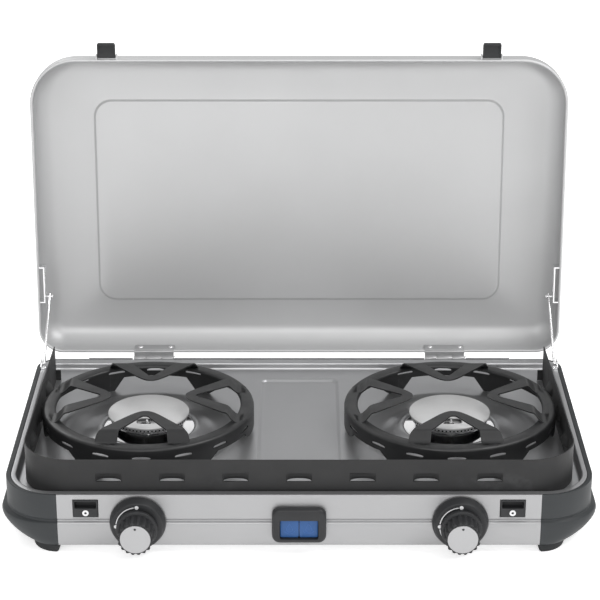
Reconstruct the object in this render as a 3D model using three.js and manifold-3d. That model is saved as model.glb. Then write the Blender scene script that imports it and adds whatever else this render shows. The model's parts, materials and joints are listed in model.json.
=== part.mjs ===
// A two-burner camp stove with a pressed lid, shown with the lid propped open.
// Millimetres, +Z up, the user stands at -Y, and the stove rests on Z = 0.
import * as THREE from "three";
import { mergeVertices } from "three/addons/utils/BufferGeometryUtils.js";
import Module from "manifold-3d";

const wasm = await Module();
wasm.setup();

// ---------------------------------------------------------------- driving dimensions

const SHIFT_Y = -15.6; // moves the casing so that the whole stove is centred on Y = 0
const GAP = 0.3; // clearance between neighbouring pieces
const SHEET = 1.2; // pressed steel sheet

const BODY = {
  halfWidth: 269.4, // casing at its rim
  halfDepth: 152.5,
  rimZ: 60,
  bottomZ: 8,
  frontRadius: 47,
  rearRadius: 20,
  frontSeamX: 218.9, // where the end casings meet the front panel
  rearSeamX: 218,
  creaseZ: 33.5, // the crease that runs along the casing
};
const CREASE = 1.7; // depth of the crease on the panels, which fades out at the sides
const BUMPER = 5.2; // how far the end casings' bumper stands out at the sides
const FLOOR_Z = 52.6; // hob tray floor
const HOB_X = 145; // burner centres, left and right of the middle
const HOB_Y = -3;
const CONTROL_X = 145.6; // knob centres
const CONTROL_Z = 33;
const PANEL_Y = -152.5; // flat of the front panel

const LID = {
  axisY: 157.7, // hinge axis
  axisZ: 58,
  openAngle: 94.2,
  halfWidth: 269.8,
  rear: 5.2, // distances from the hinge axis, with the lid closed
  front: 314.2,
  rimZ: 3,
  topZ: 39.5,
  freeRadius: 47,
  hingeRadius: 25,
  fillet: 20,
};
const PANEL_STEP = { halfWidth: 210, rear: 51.4, front: 266.7, radius: 19, slope: 3.3, height: 1.5 };
const HINGE_X = 151;
const HINGE_WIDTH = 41;
const KNUCKLE_R = 3;
const PIN_R = 1.5;

const STRUT = {
  x: 258.3, // where the wire meets its cross pin
  footX: 262,
  footY: 134.5,
  footZ: 63,
  wireR: 1.3,
  pinAlong: 64, // place of the cross pin in the lid, open
  pinUp: 12,
};

const SUPPORT = { outerR: 101.5, innerR: 89, ringZ: 81.6, armZ: 90, sheet: 1.4 };
const BURNER = { capR: 39, capZ: 73, ringZ: 70.7, cupR: 33.5, cupTopZ: 66, cupFloorZ: 50 };
const WINDSHIELD = {
  frontX: 252.2,
  rearX: 248.8,
  frontY: -142.6,
  rearY: 115,
  radius: 45,
  topZ: 89.9,
  sheet: 1,
};
const LOUVRE = { count: 7, pitch: 57.3, width: 23.5, lowZ: 68.4, highZ: 76.8, depth: 4 };

// ---------------------------------------------------------------- materials

function look(color, roughness, metalness) {
  return new THREE.MeshStandardMaterial({ color, roughness, metalness });
}

const SILVER = look(0xc4c5c7, 0.4, 0.7);
const PANEL_SILVER = look(0xcacacc, 0.35, 0.8);
const TRAY_GREY = look(0x94959a, 0.4, 0.7);
const CASING = look(0x4b4f51, 0.55, 0);
const ENAMEL = look(0x3e3f41, 0.45, 0.1);
const WIND_GREY = look(0x4b4b4c, 0.6, 0.2);
const BLACK_PLASTIC = look(0x333537, 0.5, 0);
const RUBBER = look(0x222324, 0.9, 0);
const BRIGHT = look(0xd8d9da, 0.2, 1);
const ALUMINIUM = look(0xd0d0d0, 0.3, 0.9);
const BRASS = look(0xb59a55, 0.35, 0.9);
const CERAMIC = look(0xf0eee8, 0.4, 0);
const BLUE = look(0x4673af, 0.4, 0);

// ---------------------------------------------------------------- geometry helpers

const radians = THREE.MathUtils.degToRad;

/** Six times the signed volume under a mesh: negative when its faces point inwards. */
function signedVolume(position, index) {
  const [a, b, c] = [new THREE.Vector3(), new THREE.Vector3(), new THREE.Vector3()];
  let total = 0;
  for (let i = 0; i < index.length; i += 3) {
    a.fromArray(position, 3 * index[i]);
    b.fromArray(position, 3 * index[i + 1]);
    c.fromArray(position, 3 * index[i + 2]);
    total += a.dot(b.cross(c));
  }
  return total;
}

/** Only positions, shared vertices merged, no collapsed triangles, faces pointing out. */
function welded(geometry) {
  const bare = new THREE.BufferGeometry();
  bare.setAttribute("position", geometry.attributes.position.clone());
  if (geometry.index) bare.setIndex(geometry.index.clone());
  const merged = mergeVertices(bare, 1e-4);
  const source = Array.from(merged.index.array);
  const kept = [];
  for (let i = 0; i < source.length; i += 3) {
    const [a, b, c] = source.slice(i, i + 3);
    if (a !== b && b !== c && c !== a) kept.push(a, b, c);
  }
  if (signedVolume(merged.attributes.position.array, kept) < 0) kept.reverse();
  merged.setIndex(kept);
  return merged;
}

function solidOf(geometry) {
  const mesh = welded(geometry);
  return new wasm.Manifold(
    new wasm.Mesh({
      numProp: 3,
      vertProperties: Float32Array.from(mesh.attributes.position.array),
      triVerts: Uint32Array.from(mesh.index.array),
    }),
  );
}

function geometryOf(solid) {
  const mesh = solid.getMesh();
  const geometry = new THREE.BufferGeometry();
  geometry.setAttribute("position", new THREE.BufferAttribute(Float32Array.from(mesh.vertProperties), 3));
  geometry.setIndex(Array.from(mesh.triVerts));
  return geometry;
}

/** The first geometry with the others joined to it. */
function join(first, ...others) {
  return geometryOf(others.reduce((solid, other) => solid.add(solidOf(other)), solidOf(first)));
}

/** The first geometry with the others cut out of it. */
function cut(first, ...others) {
  return geometryOf(others.reduce((solid, other) => solid.subtract(solidOf(other)), solidOf(first)));
}

/** A box between two corners. */
function block(low, high) {
  const size = high.map((value, k) => value - low[k]);
  const middle = high.map((value, k) => (value + low[k]) / 2);
  return new THREE.BoxGeometry(...size).translate(...middle);
}

/** A round bar between two heights on the Z axis. */
function postZ(radius, lowZ, highZ, sides = 10) {
  const bar = new THREE.CylinderGeometry(radius, radius, highZ - lowZ, sides);
  return bar.rotateX(Math.PI / 2).translate(0, 0, (lowZ + highZ) / 2);
}

/** A round bar between two places on a line parallel to the X axis. */
function barX(radius, lowX, highX, y, z, sides = 12) {
  const bar = new THREE.CylinderGeometry(radius, radius, highX - lowX, sides);
  return bar.rotateZ(Math.PI / 2).translate((lowX + highX) / 2, y, z);
}

/** A round bar between two places on a line parallel to the Y axis. */
function barY(radius, lowY, highY, x, z, sides = 12) {
  const bar = new THREE.CylinderGeometry(radius, radius, highY - lowY, sides);
  return bar.translate(x, (lowY + highY) / 2, z);
}

/** A closed profile of [radius, height] points turned about the Z axis. */
function turned(profile, sides) {
  const points = [...profile, profile[0]].map(([r, z]) => new THREE.Vector2(r, z));
  return new THREE.LatheGeometry(points, sides).rotateX(Math.PI / 2);
}

/** A profile of [radius, height] points that starts and ends on the axis, turned about Z. */
function turnedSolid(profile, sides) {
  const points = profile.map(([r, z]) => new THREE.Vector2(r, z));
  return new THREE.LatheGeometry(points, sides).rotateX(Math.PI / 2);
}

function shapeOf(points) {
  return new THREE.Shape(points.map(([x, y]) => new THREE.Vector2(x, y)));
}

/** A flat outline (a Shape) raised from lowZ to highZ. */
function plate(shape, lowZ, highZ, curveSegments = 3) {
  const options = { depth: highZ - lowZ, bevelEnabled: false, curveSegments };
  return new THREE.ExtrudeGeometry(shape, options).translate(0, 0, lowZ);
}

/** A [y, z] outline stretched along X. */
function barOfSection(points, lowX, highX) {
  const shape = shapeOf(points);
  const bar = new THREE.ExtrudeGeometry(shape, { depth: highX - lowX, bevelEnabled: false });
  return bar.applyMatrix4(new THREE.Matrix4().set(0, 0, 1, lowX, 1, 0, 0, 0, 0, 1, 0, 0, 0, 0, 0, 1));
}

/** A rounded rectangle as a Shape. */
function roundedShape(halfX, lowY, highY, radius) {
  const shape = new THREE.Shape();
  shape.absarc(halfX - radius, lowY + radius, radius, -Math.PI / 2, 0);
  shape.absarc(halfX - radius, highY - radius, radius, 0, Math.PI / 2);
  shape.absarc(radius - halfX, highY - radius, radius, Math.PI / 2, Math.PI);
  shape.absarc(radius - halfX, lowY + radius, radius, Math.PI, 1.5 * Math.PI);
  shape.closePath();
  return shape;
}

/** A rounded rectangle as a ring of points at one height, always with the same number of points. */
function roundedRing({ halfX, lowY, highY, lowRadius, highRadius, z, steps = 6 }) {
  const corners = [
    [halfX - lowRadius, lowY + lowRadius, lowRadius, -90],
    [halfX - highRadius, highY - highRadius, highRadius, 0],
    [highRadius - halfX, highY - highRadius, highRadius, 90],
    [lowRadius - halfX, lowY + lowRadius, lowRadius, 180],
  ];
  return corners.flatMap(([cx, cy, radius, start]) =>
    Array.from({ length: steps + 1 }, (_, k) => {
      const angle = radians(start + (90 * k) / steps);
      return [cx + radius * Math.cos(angle), cy + radius * Math.sin(angle), z];
    }),
  );
}

/** Triangles of a flat ring of points, turned the way the ring runs. */
function capTriangles(ring) {
  const normal = new THREE.Vector3();
  ring.forEach(([x, y, z], k) => {
    const [u, v, w] = ring[(k + 1) % ring.length];
    normal.add(new THREE.Vector3((y - v) * (z + w), (z - w) * (x + u), (x - u) * (y + v)));
  });
  const sizes = normal.toArray().map(Math.abs);
  const dropped = sizes.indexOf(Math.max(...sizes));
  const [first, second] = [0, 1, 2].filter((axis) => axis !== dropped);
  const flat = ring.map((point) => new THREE.Vector2(point[first], point[second]));
  const turn = Math.sign(THREE.ShapeUtils.area(flat));
  return THREE.ShapeUtils.triangulateShape(flat, []).map(([a, b, c]) =>
    THREE.ShapeUtils.area([flat[a], flat[b], flat[c]]) * turn > 0 ? [a, b, c] : [a, c, b],
  );
}

/** One skin over a row of matching rings, closed by two flat caps or looped back to its start. */
function skin(rings, looped = false) {
  const count = rings[0].length;
  const index = [];
  const spans = looped ? rings.length : rings.length - 1;
  for (let k = 0; k < spans; k += 1) {
    const here = k * count;
    const next = ((k + 1) % rings.length) * count;
    for (let i = 0; i < count; i += 1) {
      const j = (i + 1) % count;
      index.push(here + i, here + j, next + j, here + i, next + j, next + i);
    }
  }
  if (!looped) {
    const last = (rings.length - 1) * count;
    for (const [a, b, c] of capTriangles(rings[0])) index.push(a, c, b);
    for (const [a, b, c] of capTriangles(rings.at(-1))) index.push(last + a, last + b, last + c);
  }
  const geometry = new THREE.BufferGeometry();
  geometry.setAttribute("position", new THREE.Float32BufferAttribute(rings.flat(2), 3));
  geometry.setIndex(index);
  return welded(geometry);
}

/** A round or hollow tube along a smooth curve through the given points. */
function tubeThrough(points, radius, { bore = 0, sides, steps }) {
  const section = new THREE.Shape();
  section.absarc(0, 0, radius, 0, 2 * Math.PI);
  if (bore) {
    const hole = new THREE.Path();
    hole.absarc(0, 0, bore, 0, 2 * Math.PI, true);
    section.holes.push(hole);
  }
  const path = new THREE.CatmullRomCurve3(points.map((p) => new THREE.Vector3(...p)), false, "centripetal");
  return new THREE.ExtrudeGeometry(section, { steps, extrudePath: path, curveSegments: sides / 2 });
}

// ---------------------------------------------------------------- the scene graph

const stove = new THREE.Group();
const body = new THREE.Group(); // casing, hob and controls, in casing coordinates
body.position.y = SHIFT_Y;
stove.add(body);

const lid = new THREE.Group(); // drawn closed, with its origin on the hinge axis, then turned open
lid.position.set(0, LID.axisY, LID.axisZ);
lid.rotation.x = -radians(LID.openAngle);
body.add(lid);

function piece(parent, name, geometry, material) {
  const mesh = new THREE.Mesh(welded(geometry), material);
  mesh.name = name;
  parent.add(mesh);
  return mesh;
}

const SIDES = [
  ["left", -1],
  ["right", 1],
];

/** A copy of a geometry drawn for the +X side, on the given side. */
function onSide(geometry, side) {
  return side > 0 ? geometry : welded(geometry.clone().scale(-1, 1, 1));
}

// ---------------------------------------------------------------- casing

/** Places along the casing's outline on the +X side, with the outward direction at each, and how
    far each faces sideways: 0 on the panels, 1 on the ends. */
function endStations() {
  const stations = [{ x: BODY.frontSeamX, y: -BODY.halfDepth, nx: 0, ny: -1, sideways: 0 }];
  const addCorner = (radius, centreY, start, steps) => {
    for (let k = 0; k <= steps; k += 1) {
      const angle = radians(start + (90 * k) / steps);
      const [nx, ny] = [Math.cos(angle), Math.sin(angle)];
      const x = BODY.halfWidth - radius + radius * nx;
      stations.push({ x, y: centreY + radius * ny, nx, ny, sideways: nx * nx });
    }
  };
  addCorner(BODY.frontRadius, BODY.frontRadius - BODY.halfDepth, -90, 6);
  addCorner(BODY.rearRadius, BODY.halfDepth - BODY.rearRadius, 0, 4);
  stations.push({ x: BODY.rearSeamX, y: BODY.halfDepth, nx: 0, ny: 1, sideways: 0 });
  return stations;
}

/** Width of the end casing's flat rim, narrow at the panels and wide at the sides. */
function rimWidth(sideways) {
  return 1.8 + 2.8 * sideways;
}

/** The casing's section as [outward, z] points: 0 sideways at the panels, 1 at the ends. */
function casingOutside(sideways) {
  const panel = [
    [0, BODY.rimZ],
    [0, BODY.creaseZ + 2.5],
    [-CREASE, BODY.creaseZ + 0.5],
    [-CREASE, BODY.creaseZ - 1.3],
    [0.2, BODY.creaseZ - 2.5],
    [0.6, 27],
    [0.5, 22],
    [0.1, 16],
    [-0.8, 11.5],
    [-2.2, BODY.bottomZ],
  ];
  const end = [
    [0, BODY.rimZ],
    [0, BODY.creaseZ + 2.5],
    [0, BODY.creaseZ + 0.5],
    [0, BODY.creaseZ - 1.3],
    [0.85 * BUMPER, BODY.creaseZ - 3.5],
    [BUMPER, 27.5],
    [0.8 * BUMPER, 23.5],
    [-1, 17],
    [-9, 11.5],
    [-20, BODY.bottomZ],
  ];
  const mix = (from, to) => THREE.MathUtils.lerp(from, to, sideways);
  return panel.map(([out, z], k) => [mix(out, end[k][0]), mix(z, end[k][1])]);
}

function casingSection(sideways) {
  const wall = 1.5 + sideways;
  const outside = casingOutside(sideways);
  const behindCrease = -wall - 1.4 * (1 - sideways);
  const rim = -rimWidth(sideways);
  const lower = outside.slice(5).reverse().map(([out, z], k) => [out - (k ? wall : 0.6), z + 2]);
  const upper = [
    [behindCrease, 31],
    [behindCrease, 36],
    [-wall, 38],
    [-wall, BODY.rimZ - 3],
    [rim, BODY.rimZ - 3],
    [rim, BODY.rimZ],
  ];
  return [...outside, ...lower, ...upper];
}

function endCasing() {
  const rings = endStations().map(({ x, y, nx, ny, sideways }) =>
    casingSection(sideways).map(([out, z]) => [x + nx * out, y + ny * out, z]),
  );
  return skin(rings);
}

/** The front or rear sheet between the end casings, as a [y, z] section stretched along X. */
function sheetPanel(halfWidth, facing) {
  const outside = casingOutside(0).map(([out, z]) => [facing * (BODY.halfDepth + out), z]);
  const inside = casingOutside(0).reverse().map(([out, z]) => [facing * (BODY.halfDepth + out - 1.5), z]);
  return barOfSection([...outside, ...inside], -halfWidth, halfWidth);
}

const CATCH = { x: 192.6, halfWidth: 11.6, lowZ: 37.3, highZ: 55.2, depth: 6.8, bossZ: 46 };
const IGNITER = {
  halfWidth: 24.5,
  lowZ: 14,
  highZ: 48.2,
  cornerRadius: 7,
  frontY: -159.5,
  boxHalf: 19, // the box behind the bezel, which passes through the front panel
  boxLowZ: 16,
  boxHighZ: 39,
};
const INLET_X = 60;

function frontPanel() {
  const panel = sheetPanel(BODY.frontSeamX - GAP, -1);
  const holes = [
    block(
      [-IGNITER.boxHalf - GAP, PANEL_Y - 5, IGNITER.boxLowZ - GAP],
      [IGNITER.boxHalf + GAP, PANEL_Y + 5, IGNITER.boxHighZ + GAP],
    ),
  ];
  for (const [, side] of SIDES) {
    holes.push(barY(6, PANEL_Y - 5, PANEL_Y + 5, side * CONTROL_X, CONTROL_Z));
    holes.push(
      block(
        [side * CATCH.x - CATCH.halfWidth, PANEL_Y - 5, CATCH.lowZ],
        [side * CATCH.x + CATCH.halfWidth, PANEL_Y + 5, CATCH.highZ],
      ),
    );
  }
  return cut(panel, ...holes);
}

function rearPanel() {
  const panel = sheetPanel(BODY.rearSeamX - GAP, 1);
  const notches = SIDES.map(([, side]) =>
    block(
      [side * HINGE_X - HINGE_WIDTH / 2 - 1, BODY.halfDepth - 5, BODY.rimZ - 1.4],
      [side * HINGE_X + HINGE_WIDTH / 2 + 1, BODY.halfDepth + 5, BODY.rimZ + 5],
    ),
  );
  return cut(panel, barY(7, BODY.halfDepth - 5, BODY.halfDepth + 5, INLET_X, CONTROL_Z), ...notches);
}

/** The bottom sheet, with a large air opening under each burner. */
function basePan() {
  const edge = 7.6;
  const sideEdge = 21;
  const outline = roundedRing({
    halfX: BODY.halfWidth - sideEdge,
    lowY: edge - BODY.halfDepth,
    highY: BODY.halfDepth - edge,
    lowRadius: 40,
    highRadius: 24,
    z: 0,
    steps: 5,
  });
  const opening = roundedShape(72, -58, 58, 16);
  const cuts = SIDES.map(([, side]) => plate(opening, 0, 20).translate(side * HOB_X, 52, 0));
  return cut(plate(shapeOf(outline), BODY.bottomZ + 1, BODY.bottomZ + 1 + SHEET), ...cuts);
}

function addCasing() {
  piece(body, "front_panel", frontPanel(), PANEL_SILVER);
  piece(body, "rear_panel", rearPanel(), PANEL_SILVER);
  piece(body, "base_pan", basePan(), TRAY_GREY);
  const casing = endCasing();
  for (const [name, side] of SIDES) piece(body, `end_casing_${name}`, onSide(casing, side), CASING);
}

const FOOT = { x: 220, y: 126.4, groundRadius: 23.5, topRadius: 24.3, behind: 12 };

/** A rubber foot whose round outer side follows the casing's corner, for the front +X corner. */
function foot() {
  const ring = (radius, inward, z) => {
    const points = [[-inward, -radius]];
    for (let k = 0; k <= 6; k += 1) {
      const angle = radians(15 * k - 90);
      points.push([radius * Math.cos(angle), radius * Math.sin(angle)]);
    }
    points.push([radius, FOOT.behind - 4], [radius - 4, FOOT.behind], [-inward, FOOT.behind]);
    return points.map(([x, y]) => [x, y, z]);
  };
  const { groundRadius, topRadius } = FOOT;
  const top = ring(topRadius, 3, BODY.bottomZ - GAP);
  return skin([ring(groundRadius - 1, 0.6, 0), ring(groundRadius, 1, 1), top]).translate(FOOT.x, -FOOT.y, 0);
}

function addFeet() {
  const front = foot();
  const rear = welded(front.clone().scale(1, -1, 1));
  for (const [name, side] of SIDES) {
    piece(body, `foot_front_${name}`, onSide(front, side), RUBBER);
    piece(body, `foot_rear_${name}`, onSide(rear, side), RUBBER);
  }
}

// ---------------------------------------------------------------- hob tray

const DISH_R = 86.5; // hole in the tray's floor that each burner dish fills
const TRAY_FLANGE = { side: 5.2, front: 6.7, rear: 9.2 };

/** A full ring round the casing, moved inwards by rim width and flange, at one height. */
function trayRing(inset, withFlange, z) {
  const right = endStations().slice(1, -1).map(({ x, y, nx, ny, sideways }) => {
    const end = ny < 0 ? TRAY_FLANGE.front : TRAY_FLANGE.rear;
    const flange = withFlange ? THREE.MathUtils.lerp(end, TRAY_FLANGE.side, sideways) : 0;
    const move = rimWidth(sideways) + flange + inset;
    return [x - nx * move, y - ny * move, z];
  });
  const left = right.map(([x, y]) => [-x, y, z]).reverse();
  return [...right, ...left];
}

function trayFloorShape() {
  const floor = shapeOf(trayRing(3 + GAP, true, 0));
  for (const [, side] of SIDES) {
    const hole = new THREE.Path();
    hole.absarc(side * HOB_X, HOB_Y, DISH_R, 0, 2 * Math.PI, true);
    floor.holes.push(hole);
  }
  return floor;
}

/** The dish pressed round a burner: a raised hole edge, a slope, a shallow channel. */
function burnerDish() {
  const top = [
    [44, 58.5],
    [47, 58.3],
    [61, FLOOR_Z - 1],
    [66, FLOOR_Z - 2.4],
    [79, FLOOR_Z - 2.6],
    [DISH_R - GAP, FLOOR_Z],
  ];
  const under = top.map(([r, z]) => [r, z - SHEET]).reverse();
  return turned([...top, ...under], 24);
}

const WELL = { halfX: 41, lowY: -120, highY: 119, radius: 9, slope: 4, depth: 2.5 };

/** The shallow well pressed in the middle of the tray. */
function centreWell() {
  const ring = (inset, z) =>
    roundedRing({
      halfX: WELL.halfX - inset,
      lowY: WELL.lowY + inset,
      highY: WELL.highY - inset,
      lowRadius: WELL.radius - inset,
      highRadius: WELL.radius - inset,
      z,
      steps: 3,
    });
  const low = FLOOR_Z - WELL.depth;
  return skin([
    ring(WELL.slope, low),
    ring(0, FLOOR_Z),
    ring(-2, FLOOR_Z),
    ring(-2, FLOOR_Z - SHEET),
    ring(0, FLOOR_Z - SHEET),
    ring(WELL.slope, low - SHEET),
  ]);
}

function trayRim() {
  const rim = skin(
    [
      trayRing(GAP, false, BODY.rimZ),
      trayRing(0, true, BODY.rimZ),
      trayRing(0.6, true, FLOOR_Z),
      trayRing(3, true, FLOOR_Z),
      trayRing(3, true, FLOOR_Z - SHEET),
      trayRing(-0.6, true, FLOOR_Z - SHEET),
      trayRing(-1.2, true, BODY.rimZ - SHEET),
      trayRing(GAP, false, BODY.rimZ - SHEET),
    ],
    true,
  );
  const notches = SIDES.map(([, side]) =>
    block(
      [side * HINGE_X - HINGE_WIDTH / 2 - 1, 149.4, BODY.rimZ - 5],
      [side * HINGE_X + HINGE_WIDTH / 2 + 1, 160, BODY.rimZ + 5],
    ),
  );
  return cut(rim, ...notches);
}

function hobTray() {
  const wellHole = plate(roundedShape(WELL.halfX, WELL.lowY, WELL.highY, WELL.radius), 0, 99);
  const floor = cut(plate(trayFloorShape(), FLOOR_Z - SHEET, FLOOR_Z, 12), wellHole);
  return join(floor, centreWell());
}

// ---------------------------------------------------------------- windshield

/** The U-shaped line of the windshield, seen from above, drawn with the given inset. */
function windshieldLine(inset) {
  const { frontX, rearX, frontY, rearY, radius } = WINDSHIELD;
  const points = [[rearX - inset, rearY]];
  for (let k = 0; k <= 6; k += 1) {
    const angle = radians(-15 * k);
    const x = frontX - radius + (radius - inset) * Math.cos(angle);
    points.push([x, frontY + radius + (radius - inset) * Math.sin(angle)]);
  }
  return [...points, ...points.map(([x, y]) => [-x, y]).reverse()];
}

function windshield() {
  const { sheet, frontY, rearX, rearY, topZ } = WINDSHIELD;
  const outline = [...windshieldLine(0), ...windshieldLine(sheet).reverse()];
  const lowZ = FLOOR_Z + GAP;
  let wall = plate(shapeOf(outline), lowZ, topZ);
  const slots = [];
  const hoods = [];
  const tip = frontY + sheet + LOUVRE.depth;
  for (let k = 0; k < LOUVRE.count; k += 1) {
    const x = (k - (LOUVRE.count - 1) / 2) * LOUVRE.pitch;
    const [low, high] = [x - LOUVRE.width / 2, x + LOUVRE.width / 2];
    slots.push(block([low, frontY - 1, LOUVRE.lowZ], [high, frontY + sheet + 0.5, LOUVRE.highZ]));
    const section = [
      [frontY + sheet, LOUVRE.highZ + 1.5],
      [frontY + sheet - 0.5, LOUVRE.highZ + 1.5],
      [frontY + sheet - 0.5, LOUVRE.highZ - 0.2],
      [tip - 0.8, LOUVRE.lowZ],
      [tip + 0.2, LOUVRE.lowZ],
    ];
    hoods.push(barOfSection(section, low, high));
  }
  wall = cut(wall, ...slots);
  const tabs = SIDES.map(([, side]) => {
    const [a, b] = [side * (rearX - 6), side * (rearX - 0.4)].sort((p, q) => p - q);
    return block([a, rearY - sheet, lowZ], [b, rearY, 61]);
  });
  return join(wall, ...hoods, ...tabs);
}

// ---------------------------------------------------------------- pot supports

/** One raised V arm that points from the ring (at +X) towards the middle. */
function supportArm() {
  const { armZ, sheet, ringZ } = SUPPORT;
  const outer = [[77, 39], [74, 39], [41, 11], [36.5, 4.5], [36.5, -4.5], [41, -11], [74, -39], [77, -39]];
  const inner = [[77, -22], [52, -6], [46, -2.5], [46, 2.5], [52, 6], [77, 22]];
  const band = plate(shapeOf([...outer, ...inner]), armZ - sheet, armZ);
  const riser = (side) => {
    const station = (r, near, far, z) => [
      [r, side * near, z - sheet],
      [r, side * far, z - sheet],
      [r, side * far, z],
      [r, side * near, z],
    ];
    return skin([
      station(75.5, 22, 39, armZ),
      station(77.5, 22.3, 41.2, armZ - 1),
      station(80.5, 22.8, 43.2, armZ - 4.5),
      station(84.5, 23.4, 44.2, ringZ + 0.7),
      station(88, 23.8, 44.2, ringZ),
      station(92.5, 24, 38, ringZ),
    ]);
  };
  return join(band, riser(1), riser(-1));
}

const SLOT = { count: 16, half: 8.6, lowZ: 71, shoulderZ: 72.2, highZ: 73.8 };
const GATE = { frontHigh: 31.5, frontLow: 41, frontZ: 66, sideHigh: 73.3, sideLow: 85, sideZ: 67 };
const LOCATING_TAB = [[38.5, GATE.sideZ], [36.5, 63], [31, 60.8], [24, 60]]; // half of it, as [across, z]

/** The openings in a pot support's skirt: arched slots, and wide gates between its four legs. */
function skirtOpenings() {
  const { outerR } = SUPPORT;
  const lowZ = FLOOR_Z - 1;
  const arch = [[-SLOT.half, SLOT.shoulderZ], [-SLOT.half, SLOT.lowZ], [SLOT.half, SLOT.lowZ]];
  arch.push([SLOT.half, SLOT.shoulderZ], [SLOT.half / 2, SLOT.highZ - 0.4], [0, SLOT.highZ]);
  arch.push([-SLOT.half / 2, SLOT.highZ - 0.4]);
  const slots = Array.from({ length: SLOT.count }, (_, k) =>
    barOfSection(arch, outerR - 5, outerR + 5).rotateZ((2 * Math.PI * k) / SLOT.count),
  );
  const { frontHigh, frontLow, frontZ, sideHigh, sideLow, sideZ } = GATE;
  const front = [[-frontLow, lowZ], [frontLow, lowZ], [frontHigh, frontZ], [-frontHigh, frontZ]];
  const tab = [...LOCATING_TAB, ...LOCATING_TAB.map(([across, z]) => [-across, z]).reverse()];
  const sideways = [[-sideLow, lowZ], [sideLow, lowZ], [sideHigh, sideZ], ...tab, [-sideHigh, sideZ]];
  const gates = [0, 1].flatMap((k) => [
    barOfSection(front, outerR - 13, outerR + 5).rotateZ(Math.PI * (k + 0.5)),
    barOfSection(sideways, 40, outerR + 5).rotateZ(Math.PI * k),
  ]);
  return [...slots, ...gates];
}

function potSupport() {
  const { outerR, innerR, ringZ, sheet } = SUPPORT;
  const lowZ = FLOOR_Z + GAP;
  const section = [
    [innerR, ringZ],
    [innerR, ringZ - sheet],
    [outerR - sheet, ringZ - sheet],
    [outerR - sheet, lowZ],
    [outerR, lowZ],
    [outerR, ringZ - 1],
    [outerR - 1, ringZ],
  ];
  const ring = cut(turned(section, 24), ...skirtOpenings());
  const arms = [0, 1, 2, 3].map((k) => supportArm().rotateZ((Math.PI / 2) * k));
  return join(ring, ...arms);
}

// ---------------------------------------------------------------- burners

const ELECTRODE_AHEAD = 20; // distance from the burner's centre towards the user
const ELECTRODE_R = 2.6;
const ELECTRODE_FOOT_Z = 46;

function burnerCup() {
  const { cupR, cupTopZ, cupFloorZ } = BURNER;
  const section = [
    [9, cupFloorZ],
    [cupR - 3, cupFloorZ],
    [cupR, cupFloorZ + 3],
    [cupR, cupTopZ],
    [cupR - 1.5, cupTopZ],
    [cupR - 1.5, cupFloorZ + 3.5],
    [cupR - 4, cupFloorZ + 1.5],
    [9, cupFloorZ + 1.5],
  ];
  const hole = postZ(ELECTRODE_R + GAP, cupFloorZ - 2, cupFloorZ + 4).translate(0, -ELECTRODE_AHEAD, 0);
  return cut(turned(section, 18), hole);
}

function flameRing() {
  const { capR, ringZ, cupR, cupTopZ } = BURNER;
  const section = [
    [cupR - 4, cupTopZ + GAP],
    [cupR + 0.5, cupTopZ + GAP],
    [capR - 0.8, ringZ],
    [cupR - 4, ringZ],
  ];
  return turned(section, 24);
}

function burnerCap() {
  const { capR, capZ, ringZ } = BURNER;
  const low = ringZ + GAP;
  const edge = [[capR - 0.6, low], [capR, low + 0.7], [capR - 0.8, capZ - 0.5], [capR - 3, capZ]];
  const window = plate(roundedShape(10, -28, -14, 4), low - 1, capZ + 1); // the electrode stands in it
  return cut(turnedSolid([[0, low], ...edge, [0, capZ]], 24), window);
}

function electrode() {
  const ceramic = [[0, ELECTRODE_FOOT_Z], [ELECTRODE_R, ELECTRODE_FOOT_Z], [ELECTRODE_R, 68], [1.6, 70]];
  const tip = [[0.9, 70], [0.9, 75], [0, 75.5]];
  return turnedSolid([...ceramic, ...tip], 8).translate(0, -ELECTRODE_AHEAD, 0);
}

/** The tube that leads gas and air from the tap's jet up into the burner cup. */
function mixingTube(side) {
  const [startX, endX] = [side * CONTROL_X, side * HOB_X];
  const points = [
    [startX, -98, 31],
    [startX, -60, 31],
    [endX, -22, 31],
    [endX, HOB_Y - 4, 36],
    [endX, HOB_Y, 43],
    [endX, HOB_Y, BURNER.cupFloorZ + 1],
  ];
  return tubeThrough(points, 8, { bore: 6.5, sides: 8, steps: 9 });
}

function addHob() {
  piece(body, "tray_rim", trayRim(), TRAY_GREY);
  piece(body, "hob_tray", hobTray(), TRAY_GREY);
  piece(body, "windshield", windshield(), WIND_GREY);
  for (const [name, side] of SIDES) {
    const hob = new THREE.Group();
    hob.position.set(side * HOB_X, HOB_Y, 0);
    body.add(hob);
    piece(hob, `pot_support_${name}`, potSupport(), ENAMEL);
    piece(hob, `burner_dish_${name}`, burnerDish(), TRAY_GREY);
    piece(hob, `burner_cup_${name}`, burnerCup(), BRIGHT);
    piece(hob, `flame_ring_${name}`, flameRing(), ALUMINIUM);
    piece(hob, `burner_cap_${name}`, burnerCap(), BRIGHT);
    piece(hob, `electrode_${name}`, electrode(), CERAMIC);
    piece(body, `mixing_tube_${name}`, mixingTube(side), ALUMINIUM);
  }
}

// ---------------------------------------------------------------- gas taps and knobs

const TAP = { halfX: 10, frontY: -148, rearY: -104, lowZ: 23, highZ: 43 };
const SPINDLE = { radius: 3.6, tipY: -178, rootY: -138 };
const DIAL = { backY: -153.8, frontY: -162.5, backR: 25.5, frontR: 23 };
const KNOB = { backY: -166.2, flangeR: 18.6, gripR: 15.6, gripBackY: -170, frontY: -186.4, flutes: 18 };
const MANIFOLD_Y = -113;

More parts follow.
